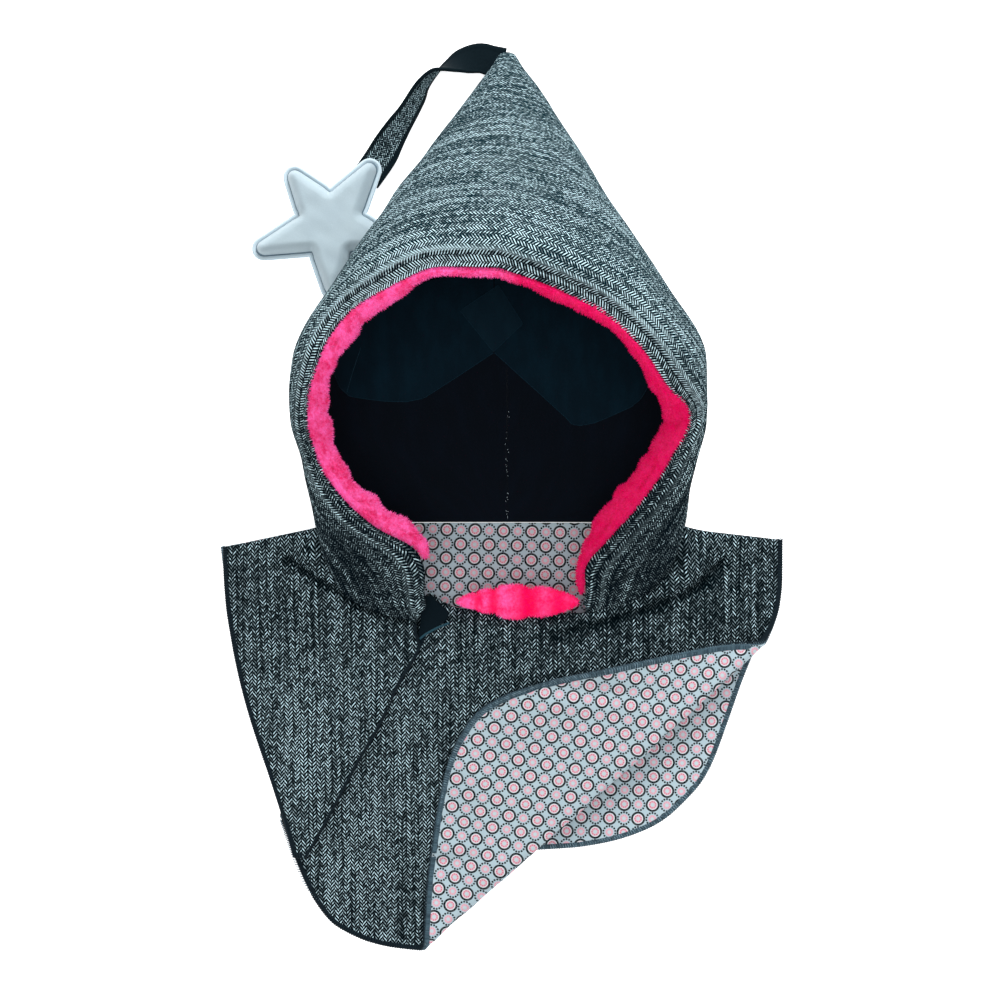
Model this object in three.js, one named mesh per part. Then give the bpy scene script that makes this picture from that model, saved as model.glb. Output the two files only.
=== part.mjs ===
// Child's pointed hood with a short open-sided cape, lying on its back with the face opening up.
// Millimetres. +Z is up from the table, +Y runs from the neck to the pointed tip.
// The origin is on the table, under the back panel, just below the neck seam.
import * as THREE from 'three';

// Cloth and gaps
const TWEED = 1.6;
const SHELL = 1.8;
const LINING = 0.8;
const HOOD_LINING = 1.2;
const GAP = 0.3;
const FRONT_SEAM_GAP = 3.9;
const FRONT_SEAM_DROP = 0.8;
const BACK_SEAM_GAP = 1;
const BACK_SEAM_DROP = 2.6;
const NECK_TO_ORIGIN = 12;

// The hood as a tapered tube lying on the table: sections from the tip to the throat
const BODY = [
  { y: 278, halfWidth: 5, height: 13, middle: 4.2 },
  { y: 261, halfWidth: 13.8, height: 36, middle: 4.4 },
  { y: 234, halfWidth: 30.5, height: 66, middle: 3.2 },
  { y: 208, halfWidth: 45.7, height: 94, middle: 1.7 },
  { y: 183, halfWidth: 60.7, height: 119, middle: 0.3 },
  { y: 158, halfWidth: 75.4, height: 142, middle: 0 },
  { y: 130, halfWidth: 93, height: 154, middle: -0.5 },
  { y: 91, halfWidth: 114.5, height: 153, middle: -0.5 },
  { y: 58, halfWidth: 116.5, height: 142, middle: -0.8 },
  { y: 36, halfWidth: 111.5, height: 124, middle: -1 },
  { y: 0, halfWidth: 106, height: 84, middle: 0 },
  { y: -36, halfWidth: 102, height: 46, middle: 0 },
  { y: -62, halfWidth: 87, height: 29, middle: 0 },
];
const UNDERSIDE_POWER = 0.72;
const SHELL_DEPTH = 2;

// The face opening's edge: place along it from the forehead, in mm, then its place on the tube
const RIM = [
  { along: 0, leftY: 132.4, leftAngle: 0, rightY: 132.4, rightAngle: 0 },
  { along: 30, leftY: 133.5, leftAngle: 22, rightY: 123, rightAngle: 18 },
  { along: 60, leftY: 124.3, leftAngle: 41, rightY: 110, rightAngle: 33.5 },
  { along: 90, leftY: 111.6, leftAngle: 57, rightY: 92.3, rightAngle: 46 },
  { along: 120, leftY: 88.6, leftAngle: 66, rightY: 72.4, rightAngle: 59 },
  { along: 150, leftY: 66, leftAngle: 76, rightY: 58, rightAngle: 76 },
  { along: 180, leftY: 43.3, leftAngle: 82, rightY: 35.4, rightAngle: 68 },
  { along: 210, leftY: 19.2, leftAngle: 67, rightY: 11.7, rightAngle: 53 },
  { along: 240, leftY: -1.6, leftAngle: 47.5, rightY: -9, rightAngle: 40 },
  { along: 270, leftY: -16, leftAngle: 30, rightY: -29, rightAngle: 30.5 },
  { along: 292, leftY: -31, leftAngle: 26.5, rightY: -46, rightAngle: 31 },
  { along: 312, leftY: -47, leftAngle: 27.5, rightY: -60, rightAngle: 31 },
];
const RIM_LENGTH = { left: 312, right: 292 };
const ROLL_DEPTH = 8;
const ROLL_WIDTH = 18;
const CHIN_ROLL = { fromShare: 0.86, kept: 0.25 };
const COLUMNS_PER_SIDE = 20;
const RIM_ROWS = [0, 4, 8, 13, 20];
const ROUND_ROWS = 8;
const SHORT_COLUMN = 45;
const COLUMN_SAMPLES = 40;

// Where the hood's columns end, by share of the rim: round the tip, then down the back seam on the
// table, then along the neck seam from the middle of the back round to the chin
const TIP_SHARE = 0.2;
const BACK_SEAM = [
  { share: 0.2, y: 279 },
  { share: 0.25, y: 232 },
  { share: 0.33, y: 165 },
  { share: 0.41, y: 112 },
  { share: 0.48, y: 70 },
  { share: 0.55, y: 30 },
  { share: 0.6, y: 0 },
];
const NECK_SEAM = [
  { share: 0.6, angle: 180, leftY: 0, rightY: 0 },
  { share: 0.65, angle: 158, leftY: 0, rightY: 0 },
  { share: 0.7, angle: 134, leftY: 0, rightY: 0 },
  { share: 0.75, angle: 112, leftY: -0.5, rightY: -0.5 },
  { share: 0.8, angle: 96, leftY: -6, rightY: -6 },
  { share: 0.85, angle: 79, leftY: -25, rightY: -22 },
  { share: 0.9, angle: 62, leftY: -46, rightY: -40 },
  { share: 0.95, angle: 46, leftY: -54, rightY: -49 },
  { share: 1, angle: 33, leftY: -57, rightY: -52 },
];
const TIP_HEIGHT = 3.2;
const SEAM_STEP = 0.01;
const SEAM_REACH = 3;

// The front panels stand up round the neck hole, an oval, and fall away to the hem and the shoulders
const NECK_HOLE = { y: -2, halfWidth: 104, halfHeight: 50, z: 30 };
const FRONT_FALL = 98;
const SHOULDER_FALL = 38;
const FRONT_BASE = 4.6;
const FLOOR_BASE = 1.4;
const ONTO_BACK = { beyond: 34, fade: 30, lowestY: -230 };

// Outlines of the two panels, half of each: distance from the middle at each height
const FRONT_OUTLINE = [
  { y: -14, halfWidth: 166.5 },
  { y: -47, halfWidth: 165 },
  { y: -71, halfWidth: 161.5 },
  { y: -95, halfWidth: 156.5 },
  { y: -119, halfWidth: 150 },
  { y: -143, halfWidth: 143 },
  { y: -167, halfWidth: 135.5 },
  { y: -191, halfWidth: 128 },
  { y: -215, halfWidth: 118.5 },
  { y: -227, halfWidth: 112 },
  { y: -239, halfWidth: 102 },
  { y: -247, halfWidth: 88 },
  { y: -253, halfWidth: 70 },
  { y: -256.5, halfWidth: 40 },
  { y: -258, halfWidth: 0 },
];
const BACK_OUTLINE = [
  { y: -14, halfWidth: 166.5 },
  { y: -47, halfWidth: 162 },
  { y: -71, halfWidth: 154 },
  { y: -95, halfWidth: 144.5 },
  { y: -119, halfWidth: 136 },
  { y: -143, halfWidth: 127 },
  { y: -155, halfWidth: 120.5 },
  { y: -167, halfWidth: 110 },
  { y: -179, halfWidth: 96 },
  { y: -188, halfWidth: 76 },
  { y: -194, halfWidth: 48 },
  { y: -197, halfWidth: 0 },
];
const SHOULDER_Y = -15;
const HEM_POINTS = 24;

// The diagonal front closure: edge of the left panel, and how far the main panel goes on below it
const SLIT = [
  { x: -43.5, y: -58 },
  { x: -46, y: -71 },
  { x: -59, y: -94 },
  { x: -70, y: -118 },
  { x: -84.5, y: -143 },
  { x: -102, y: -176 },
  { x: -115.5, y: -199.5 },
];
const UNDERLAP_END = -176;
const UNDERLAP_END_INSET = 2;
const UNDERLAP = { atNeck: 8, atHem: 24, fromY: -60, length: 80 };
const LAP_RISE = 4.4;
const LAP_FADE = 28;
const TAB_DROP = 11;
const TAB_CENTRE = { x: -44, y: -50, reach: 24 };
const TAB_NECKLINE = [
  { x: -41, y: -41 },
  { x: -36, y: -46.5 },
  { x: -30, y: -50.5 },
  { x: -24.5, y: -53 },
];
const CHIN_NECKLINE_END = { x: 43, y: -52.5 };
const CHIN_NECKLINE_DIP = 0.8;
const CHIN_NECKLINE_POINTS = 6;

// The turned-up corner: two points of its visible fold edge
const FOLD_START = { x: -39.3, y: -248.7 };
const FOLD_END = { x: 147.6, y: -79.7 };
const FOLD_RADIUS = 3.1;
const FLAP_SETTLED = 4;
const FLAP_SETTLE_LENGTH = 45;

// Soft ridges in the front panels, flat again near the neck
const FRONT_FOLDS = [
  { fromX: -88, fromY: -36, toX: -80, toY: -62, width: 7, height: 2.2 },
  { fromX: -150, fromY: -30, toX: -104, toY: -52, width: 12, height: 3 },
  { fromX: 48, fromY: -60, toX: 104, toY: -42, width: 9, height: 2.4 },
  { fromX: 60, fromY: -84, toX: 138, toY: -50, width: 14, height: 3 },
];
const FOLDS_FROM_NECK = 15;

// Trims
const FACE_TRIM = {
  halfWidth: 4.3, halfThickness: 2.6, wave: 0.45, waves: 34, leftEnd: 0.9, rightEnd: 0.965,
  fromEdge: 1.5, lift: 0.6, endSize: 0.35, leftTaper: 0.05, rightTaper: 0.08, stations: 46, sides: 8,
};
const CHIN_TRIM = {
  fromX: -24.5, toX: 45.5, y: -45.9, z: 33.2, halfHeight: 9.3, halfThickness: 4.4,
  bluntness: 0.7, endShare: 0.01, crease: 0.12, puffs: 2.5, stations: 14, sides: 8,
};
const TAPE = [
  { y: -43, rightX: -40 },
  { y: -48, rightX: -35 },
  { y: -53.5, rightX: -30 },
  { y: -58, rightX: -32 },
  { y: -65, rightX: -42.5 },
  { y: -73, rightX: -45 },
  { y: -82, rightX: -49 },
  { y: -95, rightX: -56 },
];
const TAPE_HIDDEN = 3;
const TAPE_THICKNESS = 0.9;
const TAPE_LIFT = 2;

// The strap from the tip to the star: its middle line and how far it has turned over
const STRAP_WIDTH = 16;
const STRAP_THICKNESS = 1.6;
const STRAP_STATIONS = 24;
const STRAP = [
  { x: -2.5, y: 279.5, z: 11, turn: 0 },
  { x: -9, y: 280, z: 7.5, turn: 0 },
  { x: -18, y: 278.6, z: 4.6, turn: 12 },
  { x: -27, y: 274.8, z: 7.4, turn: 50 },
  { x: -34.8, y: 270.6, z: 8.9, turn: 76 },
  { x: -40, y: 267, z: 9.1, turn: 92 },
  { x: -45.6, y: 261.5, z: 9, turn: 104 },
  { x: -50.6, y: 254.4, z: 8.4, turn: 117 },
  { x: -56.4, y: 244.2, z: 7.4, turn: 130 },
  { x: -62.4, y: 233.6, z: 6.2, turn: 142 },
  { x: -67.8, y: 224.6, z: 4.4, turn: 160 },
  { x: -73.2, y: 216.8, z: 2.3, turn: 178 },
  { x: -76.6, y: 212.2, z: 2, turn: 180 },
];

// The stuffed star
const STAR = {
  x: -100.4, y: 177.9, radius: 45.5, innerRadius: 22.6, firstPoint: 55, tipRound: 5.2,
  seamHeight: 6.4, flange: 0.8, flangeWidth: 1.075, crown: 12, belly: 5.5,
  innerSpread: 8, innerEase: 1.16, rise: 2.4, fullness: 0.62,
};
const STAR_RINGS = [0.4, 0.7, 0.9, 1];

const clamp = (value, low, high) => Math.min(high, Math.max(low, value));
const radians = (degrees) => degrees * Math.PI / 180;
const mix = (from, to, share) => from + (to - from) * share;

function smooth(value) {
  const share = clamp(value, 0, 1);
  return share * share * (3 - 2 * share);
}

// A fair curve through one column of a table against another, without overshoot
function fair(table, input, output) {
  const rows = [...table].sort((first, second) => first[input] - second[input]);
  const steps = rows.slice(1).map((row, i) => row[input] - rows[i][input]);
  const slopes = steps.map((step, i) => (rows[i + 1][output] - rows[i][output]) / step);
  const tangents = rows.map((row, i) => {
    if (i === 0) return slopes[0];
    if (i === rows.length - 1) return slopes[i - 1];
    if (slopes[i - 1] * slopes[i] <= 0) return 0;
    return 2 * slopes[i - 1] * slopes[i] / (slopes[i - 1] + slopes[i]);
  });
  return (value) => {
    const at = clamp(value, rows[0][input], rows[rows.length - 1][input]);
    let i = 0;
    while (i < steps.length - 1 && at > rows[i + 1][input]) i += 1;
    const t = (at - rows[i][input]) / steps[i];
    const start = (1 + 2 * t) * (1 - t) ** 2 * rows[i][output];
    const end = t * t * (3 - 2 * t) * rows[i + 1][output];
    const bend = t * (1 - t) * steps[i] * ((1 - t) * tangents[i] - t * tangents[i + 1]);
    return start + end + bend;
  };
}

// Points along a polyline by share of its length
function alongLine(points) {
  const lengths = [0];
  for (let i = 1; i < points.length; i += 1) {
    lengths.push(lengths[i - 1] + points[i].distanceTo(points[i - 1]));
  }
  return (share) => {
    const goal = clamp(share, 0, 1) * lengths[lengths.length - 1];
    let i = 1;
    while (i < points.length - 1 && goal > lengths[i]) i += 1;
    const t = (goal - lengths[i - 1]) / (lengths[i] - lengths[i - 1]);
    return points[i - 1].clone().lerp(points[i], t);
  };
}

// A sheet's middle surface: a grid of points, its doubled points merged and its empty faces dropped
function gridSheet(columns, rows, place, faceUp) {
  const index = new Map();
  const points = [];
  const ids = [];
  for (let i = 0; i < columns; i += 1) {
    for (let j = 0; j < rows; j += 1) {
      const point = place(i, j);
      const key = [point.x, point.y, point.z].map((value) => Math.round(value * 1000)).join();
      if (!index.has(key)) {
        index.set(key, points.length);
        points.push(point);
      }
      ids.push(index.get(key));
    }
  }
  const faces = [];
  const add = (a, b, c) => {
    if (a !== b && b !== c && a !== c) faces.push(faceUp ? [a, b, c] : [a, c, b]);
  };
  for (let i = 0; i < columns - 1; i += 1) {
    for (let j = 0; j < rows - 1; j += 1) {
      const corner = ids[i * rows + j];
      const across = ids[(i + 1) * rows + j];
      const far = ids[(i + 1) * rows + j + 1];
      const down = ids[i * rows + j + 1];
      add(corner, across, far);
      add(corner, far, down);
    }
  }
  return { points, faces };
}

// Gives a middle surface its thickness, from low to high along its normals, with closed edges
function thicken({ points, faces }, low, high) {
  const normals = points.map(() => new THREE.Vector3());
  const edges = new Map();
  for (const face of faces) {
    const [a, b, c] = face.map((id) => points[id]);
    const normal = b.clone().sub(a).cross(c.clone().sub(a));
    face.forEach((id, k) => {
      normals[id].add(normal);
      edges.set(`${id},${face[(k + 1) % 3]}`, [id, face[(k + 1) % 3]]);
    });
  }
  const positions = [];
  for (const offset of [high, low]) {
    points.forEach((point, id) => {
      const moved = normals[id].clone().normalize().multiplyScalar(offset).add(point);
      positions.push(moved.x, moved.y, moved.z);
    });
  }
  const count = points.length;
  const triangles = [];
  for (const [a, b, c] of faces) {
    triangles.push(a, b, c, a + count, c + count, b + count);
  }
  for (const [a, b] of edges.values()) {
    if (!edges.has(`${b},${a}`)) {
      triangles.push(b, a, a + count, b, a + count, b + count);
    }
  }
  const geometry = new THREE.BufferGeometry();
  geometry.setAttribute('position', new THREE.Float32BufferAttribute(positions, 3));
  geometry.setIndex(triangles);
  geometry.computeVertexNormals();
  return geometry;
}

// A tapering tube through closed sections, with flat or pointed ends
function loft(sections) {
  const sides = sections[0].length;
  const positions = [];
  const triangles = [];
  for (const section of sections) {
    for (const point of section) positions.push(point.x, point.y, point.z);
  }
  for (let i = 0; i < sections.length - 1; i += 1) {
    for (let k = 0; k < sides; k += 1) {
      const a = i * sides + k;
      const b = i * sides + (k + 1) % sides;
      triangles.push(a, b, b + sides, a, b + sides, a + sides);
    }
  }
  for (const end of [0, sections.length - 1]) {
    const centre = new THREE.Vector3();
    for (const point of sections[end]) centre.add(point);
    centre.multiplyScalar(1 / sides);
    positions.push(centre.x, centre.y, centre.z);
    const middle = positions.length / 3 - 1;
    for (let k = 0; k < sides; k += 1) {
      const a = end * sides + k;
      const b = end * sides + (k + 1) % sides;
      triangles.push(...(end === 0 ? [middle, b, a] : [middle, a, b]));
    }
  }
  const geometry = new THREE.BufferGeometry();
  geometry.setAttribute('position', new THREE.Float32BufferAttribute(positions, 3));
  geometry.setIndex(triangles);
  geometry.computeVertexNormals();
  return geometry;
}

// The hood's surface
const bodyWidth = fair(BODY, 'y', 'halfWidth');
const bodyHeight = fair(BODY, 'y', 'height');
const bodyMiddle = fair(BODY, 'y', 'middle');

function bodyPoint(y, degrees, side, depth) {
  const halfWidth = bodyWidth(y) - depth;
  const height = bodyHeight(y) - 2 * depth;
  const sine = Math.sin(radians(degrees));
  const cosine = Math.cos(radians(degrees));
  const under = degrees > 90;
  const across = under ? Math.max(sine, 0) ** UNDERSIDE_POWER : sine;
  const up = under ? (1 - Math.abs(cosine) ** UNDERSIDE_POWER) / 2 : (1 + cosine) / 2;
  return new THREE.Vector3(bodyMiddle(y) + side * halfWidth * across, y, depth + height * up);
}

const rimCurves = {
  left: { y: fair(RIM, 'along', 'leftY'), angle: fair(RIM, 'along', 'leftAngle') },
  right: { y: fair(RIM, 'along', 'rightY'), angle: fair(RIM, 'along', 'rightAngle') },
};
const backSeamY = fair(BACK_SEAM, 'share', 'y');
const neckSeamAngle = fair(NECK_SEAM, 'share', 'angle');
const neckSeamY = {
  left: fair(NECK_SEAM, 'share', 'leftY'),
  right: fair(NECK_SEAM, 'share', 'rightY'),
};
const NECK_SHARE = NECK_SEAM[0].share;

function columnEnd(share, name) {
  if (share <= TIP_SHARE) return { y: backSeamY(share), angle: 180 * share / TIP_SHARE };
  if (share <= NECK_SHARE) return { y: backSeamY(share), angle: 180 };
  return { y: neckSeamY[name](share), angle: neckSeamAngle(share) };
}

// A column of the hood runs from the face opening round the outside to the tip or a seam
function hoodColumn(share, side) {
  const name = side < 0 ? 'left' : 'right';
  const along = share * RIM_LENGTH[name];
  const rimY = rimCurves[name].y(along);
  const rimAngle = rimCurves[name].angle(along);
  const end = columnEnd(share, name);
  const intoChin = smooth((share - CHIN_ROLL.fromShare) / (1 - CHIN_ROLL.fromShare));
  const depthAtRim = ROLL_DEPTH * mix(1, CHIN_ROLL.kept, intoChin);
  const pathAt = (t, depth) => bodyPoint(mix(rimY, end.y, t), mix(rimAngle, end.angle, t), side, depth);
  const samples = COLUMN_SAMPLES;
  const path = [];
  for (let k = 0; k <= samples; k += 1) path.push(pathAt(k / samples, SHELL_DEPTH));
  const lengths = [0];
  for (let k = 1; k <= samples; k += 1) {
    lengths.push(lengths[k - 1] + path[k].distanceTo(path[k - 1]));
  }
  const length = lengths[samples];
  const shortness = Math.min(1, length / SHORT_COLUMN);
  const tip = new THREE.Vector3(bodyMiddle(end.y), end.y, TIP_HEIGHT);
  const pointAt = (distance) => {
    if (share <= TIP_SHARE && distance >= length - 1e-6) return tip.clone();
    let k = 1;
    while (k < samples && distance > lengths[k]) k += 1;
    const t = (k - 1 + (distance - lengths[k - 1]) / (lengths[k] - lengths[k - 1])) / samples;
    const roll = (1 - smooth(distance / (ROLL_WIDTH * shortness))) * depthAtRim;
    return pathAt(Math.min(t, 1), SHELL_DEPTH + roll);
  };
  const rows = RIM_ROWS.map((distance) => distance * shortness);
  const last = rows[rows.length - 1];
  for (let j = 1; j <= ROUND_ROWS; j += 1) rows.push(mix(last, length, j / ROUND_ROWS));
  return { length, pointAt, rows };
}

function hoodSheet(firstRow) {
  const columns = [];
  for (let i = -COLUMNS_PER_SIDE; i <= COLUMNS_PER_SIDE; i += 1) {
    columns.push(hoodColumn(Math.abs(i) / COLUMNS_PER_SIDE, Math.sign(i)));
  }
  const rows = columns[0].rows.length - firstRow;
  return gridSheet(columns.length, rows, (i, j) => columns[i].pointAt(columns[i].rows[j + firstRow]), true);
}

function makeHoodShell() {
  return thicken(hoodSheet(0), GAP / 2, GAP / 2 + SHELL);
}

function makeHoodLining() {
  return thicken(hoodSheet(1), -GAP - HOOD_LINING, -GAP);
}

// The plush strip carries on from the rolled edge into the opening
function makeFaceTrim() {
  const { leftEnd, rightEnd, stations, sides } = FACE_TRIM;
  const sections = [];
  const rimAt = (place) => hoodColumn(Math.abs(place), Math.sign(place));
  for (let k = 0; k <= stations; k += 1) {
    const place = mix(-leftEnd, rightEnd, k / stations);
    const edge = rimAt(place).pointAt(0);
    const outward = edge.clone().sub(rimAt(place).pointAt(RIM_ROWS[1])).normalize();
    const forward = rimAt(Math.min(place + SEAM_STEP, rightEnd)).pointAt(0);
    const backward = rimAt(place - SEAM_STEP).pointAt(0);
    const along = forward.sub(backward).normalize();
    const normal = outward.clone().cross(along).normalize();
    const fromLeft = smooth((place + leftEnd) / FACE_TRIM.leftTaper);
    const fromRight = smooth((rightEnd - place) / FACE_TRIM.rightTaper);
    const size = mix(FACE_TRIM.endSize, 1, fromLeft * fromRight);
    const waveTurn = 2 * Math.PI * FACE_TRIM.waves * place / (leftEnd + rightEnd);
    const halfWidth = (FACE_TRIM.halfWidth + FACE_TRIM.wave * Math.sin(waveTurn)) * size;
    const centre = edge.clone()
      .addScaledVector(outward, halfWidth + FACE_TRIM.fromEdge)
      .addScaledVector(normal, FACE_TRIM.lift);
    const section = [];
    for (let m = 0; m < sides; m += 1) {
      const turn = -2 * Math.PI * m / sides;
      section.push(centre.clone()
        .addScaledVector(outward, halfWidth * Math.cos(turn))
        .addScaledVector(normal, FACE_TRIM.halfThickness * size * Math.sin(turn)));
    }
    sections.push(section);
  }
  return loft(sections);
}

// Heights of the panels
const frontHalfWidth = fair(FRONT_OUTLINE, 'y', 'halfWidth');
const backHalfWidth = fair(BACK_OUTLINE, 'y', 'halfWidth');
const slitX = fair(SLIT, 'y', 'x');

function foldHeight(x, y, fold) {
  const dx = fold.toX - fold.fromX;
  const dy = fold.toY - fold.fromY;
  const t = clamp(((x - fold.fromX) * dx + (y - fold.fromY) * dy) / (dx * dx + dy * dy), 0, 1);
  const distance = Math.hypot(x - fold.fromX - t * dx, y - fold.fromY - t * dy);
  return fold.height * Math.exp(-((distance / fold.width) ** 2));
}

// Distance outside the neck hole, and how much of the neck's height is left there
function fromNeck(x, y) {
  const reach = Math.hypot(x, y - NECK_HOLE.y);
  const ratio = Math.hypot(x / NECK_HOLE.halfWidth, (y - NECK_HOLE.y) / NECK_HOLE.halfHeight);
  const distance = Math.max(0, reach * (1 - 1 / Math.max(ratio, 1e-6)));
  const sideways = (x / Math.max(reach, 1e-6)) ** 2;
  const fall = mix(FRONT_FALL, SHOULDER_FALL, sideways ** 2);
  return { distance, share: Math.exp(-((distance / fall) ** 2)) };
}

function frontHeight(x, y) {
  const across = Math.abs(x);
  const overSides = smooth((backHalfWidth(y) + ONTO_BACK.beyond - across) / ONTO_BACK.fade);
  const onBack = overSides * smooth((y - ONTO_BACK.lowestY) / ONTO_BACK.fade);
  const base = mix(FLOOR_BASE, FRONT_BASE, onBack);
  const { distance, share } = fromNeck(x, y);
  const folds = FRONT_FOLDS.reduce((sum, fold) => sum + foldHeight(x, y, fold), 0);
  return base + (NECK_HOLE.z - FRONT_BASE) * share + folds * smooth(distance / FOLDS_FROM_NECK);
}

function tabDrop(x, y) {
  const distance = Math.hypot(x - TAB_CENTRE.x, y - TAB_CENTRE.y);
  return TAB_DROP * Math.exp(-((distance / TAB_CENTRE.reach) ** 2));
}

// Seam between hood and panels: the ends of the hood's columns, moved away square to the seam
function neckSeam(side, fromShare, toShare, gap, drop) {
  const endAt = (share) => {
    const column = hoodColumn(clamp(share, NECK_SHARE, 1), side);
    return { end: column.pointAt(column.length), before: column.pointAt(column.length - SEAM_REACH) };
  };
  const points = [];
  for (let k = 0; k <= SEAM_POINTS; k += 1) {
    const share = mix(fromShare, toShare, k / SEAM_POINTS);
    const { end, before } = endAt(share);
    const along = endAt(share + SEAM_STEP).end.sub(endAt(share - SEAM_STEP).end).normalize();
    const away = end.clone().sub(before);
    away.addScaledVector(along, -away.dot(along)).normalize();
    end.addScaledVector(away, gap);
    points.push(end.setZ(Math.max(0, end.z - drop)));
  }
  return points;
}

const SEAM_BLEND = 24;
const SEAM_POINTS = 10;
const SHOULDER_SHARE = { front: 0.775, back: 0.74 };

function outlineLine(table, halfWidthAt, fromY, side) {
  const lowest = table[table.length - 1].y;
  const points = [];
  for (let k = 0; k <= HEM_POINTS; k += 1) {
    const y = mix(fromY, lowest, Math.sin(Math.PI / 2 * k / HEM_POINTS));
    points.push(new THREE.Vector3(side * halfWidthAt(y), y, 0));
  }
  return points;
}

// A panel fans out from the neck to its hem; height gives z, and turnUp may fold it
function fanSheet(inner, outer, columns, rowShares, height, turnUp) {
  const innerAt = alongLine(inner);
  const outerAt = alongLine(outer);
  const rows = rowShares(innerAt(0), outerAt(0)).length;
  return gridSheet(columns + 1, rows, (i, j) => {
    const start = innerAt(i / columns);
    const end = outerAt(i / columns);
    const share = rowShares(start, end)[j];
    const x = mix(start.x, end.x, share);
    const y = mix(start.y, end.y, share);
    const distance = Math.hypot(x - start.x, y - start.y);
    const seam = (start.z - height(start.x, start.y)) * (1 - smooth(distance / SEAM_BLEND));
    return turnUp(new THREE.Vector3(x, y, height(x, y) + seam));
  }, false);
}

const evenRows = (count) => () => Array.from({ length: count + 1 }, (unused, j) => j / count);
const flat = (point) => point;

// Back panel: flat on the table, rising to the neck and the shoulder seams
const BACK_RISE_LENGTH = 50;
const BACK_STACK = 6.2;
const SHOULDER_SLOPE = 0.23;
const BACK_FLAT = { halfWidth: 30, fade: 70 };
const BACK_COLUMNS = 24;
const BACK_ROWS = 7;

function backHeight(x, y) {
  const across = Math.abs(x);
  const top = -SHOULDER_SLOPE * Math.max(0, across - NECK_HOLE.halfWidth);
  const fall = Math.max(0, 1 - Math.max(0, top - y) / BACK_RISE_LENGTH) ** 2;
  const rise = Math.max(0, frontHeight(x, Math.min(y, top)) - BACK_STACK);
  return rise * fall * smooth((across - BACK_FLAT.halfWidth) / BACK_FLAT.fade);
}

function backSheet() {
  const half = (side) => neckSeam(side, SHOULDER_SHARE.back, NECK_SHARE, BACK_SEAM_GAP, BACK_SEAM_DROP);
  const inner = [...half(-1), ...half(1).reverse().slice(1)];
  const leftHem = outlineLine(BACK_OUTLINE, backHalfWidth, SHOULDER_Y, -1);
  const rightHem = outlineLine(BACK_OUTLINE, backHalfWidth, SHOULDER_Y, 1).reverse();
  const outer = [...leftHem, ...rightHem.slice(1)];
  return fanSheet(inner, outer, BACK_COLUMNS, evenRows(BACK_ROWS), backHeight, flat);
}

// Main front panel, with its lower right corner turned up
const foldAlong = new THREE.Vector2(FOLD_END.x - FOLD_START.x, FOLD_END.y - FOLD_START.y).normalize();
const foldAway = new THREE.Vector2(-foldAlong.y, foldAlong.x);

function foldDistance(point) {
  const away = (point.x - FOLD_START.x) * foldAway.x + (point.y - FOLD_START.y) * foldAway.y;
  return away - FOLD_RADIUS;
}

function mainHeight(x, y) {
  return frontHeight(x, y) - tabDrop(x, y);
}

function turnUpCorner(point) {
  const past = -foldDistance(point);
  if (past <= 0) return point;
  const rollLength = Math.PI * FOLD_RADIUS;
  const turn = Math.min(past, rollLength) / FOLD_RADIUS;
  const back = past < rollLength ? -FOLD_RADIUS * Math.sin(turn) : past - rollLength;
  const x = point.x + foldAway.x * (past + back);
  const y = point.y + foldAway.y * (past + back);
  const settle = smooth((past - rollLength) / FLAP_SETTLE_LENGTH);
  const lift = FOLD_RADIUS * (1 - Math.cos(turn));
  return new THREE.Vector3(x, y, mainHeight(x, y) + mix(lift, FLAP_SETTLED, settle));
}

const MAIN_COLUMNS = 28;
const MAIN_ROWS = 8;
const ROLL_ROWS = 3;
const FLAP_ROWS = 3;

function foldedRows(start, end) {
  const from = foldDistance(start);
  const to = foldDistance(end);
  const shareAt = (distance) => clamp((from - distance) / (from - to), 0, 1);
  const crosses = to < 0;
  const foldShare = crosses ? shareAt(0) : 1;
  const rollEnd = crosses ? shareAt(-Math.PI * FOLD_RADIUS) : 1;
  const rows = [];
  for (let j = 0; j <= MAIN_ROWS; j += 1) rows.push(foldShare * j / MAIN_ROWS);
  for (let j = 1; j <= ROLL_ROWS; j += 1) rows.push(mix(foldShare, rollEnd, j / ROLL_ROWS));
  for (let j = 1; j <= FLAP_ROWS; j += 1) rows.push(mix(rollEnd, 1, j / FLAP_ROWS));
  return rows;
}

function mainSheet() {
  const points = [...TAB_NECKLINE];
  const from = TAB_NECKLINE[TAB_NECKLINE.length - 1];
  for (let k = 1; k <= CHIN_NECKLINE_POINTS; k += 1) {
    const share = k / CHIN_NECKLINE_POINTS;
    const dip = CHIN_NECKLINE_DIP * Math.sin(Math.PI * share);
    const x = mix(from.x, CHIN_NECKLINE_END.x, share);
    points.push({ x, y: mix(from.y, CHIN_NECKLINE_END.y, share) - dip });
  }
  const neckline = points.map(({ x, y }) => new THREE.Vector3(x, y, mainHeight(x, y)));
  const seam = neckSeam(1, 1, SHOULDER_SHARE.front, FRONT_SEAM_GAP, FRONT_SEAM_DROP);
  const leftHem = outlineLine(FRONT_OUTLINE, frontHalfWidth, UNDERLAP_END, -1);
  leftHem[0].x += UNDERLAP_END_INSET;
  const rightHem = outlineLine(FRONT_OUTLINE, frontHalfWidth, SHOULDER_Y, 1).reverse();
  const outer = [...leftHem, ...rightHem.slice(1)];
  return fanSheet([...neckline, ...seam], outer, MAIN_COLUMNS, foldedRows, mainHeight, turnUpCorner);
}

// Left front panel, lapping over the main one
const LEFT_COLUMNS = 16;
const LEFT_ROWS = 8;

function leftHeight(x, y) {
  const pastSlit = slitX(y) - x;
  const toHem = smooth((UNDERLAP.fromY - y) / UNDERLAP.length);
  const underlap = mix(UNDERLAP.atNeck, UNDERLAP.atHem, toHem);
  const lap = 1 - smooth((pastSlit - underlap) / LAP_FADE);
  return frontHeight(x, y) + LAP_RISE * lap;
}

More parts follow.
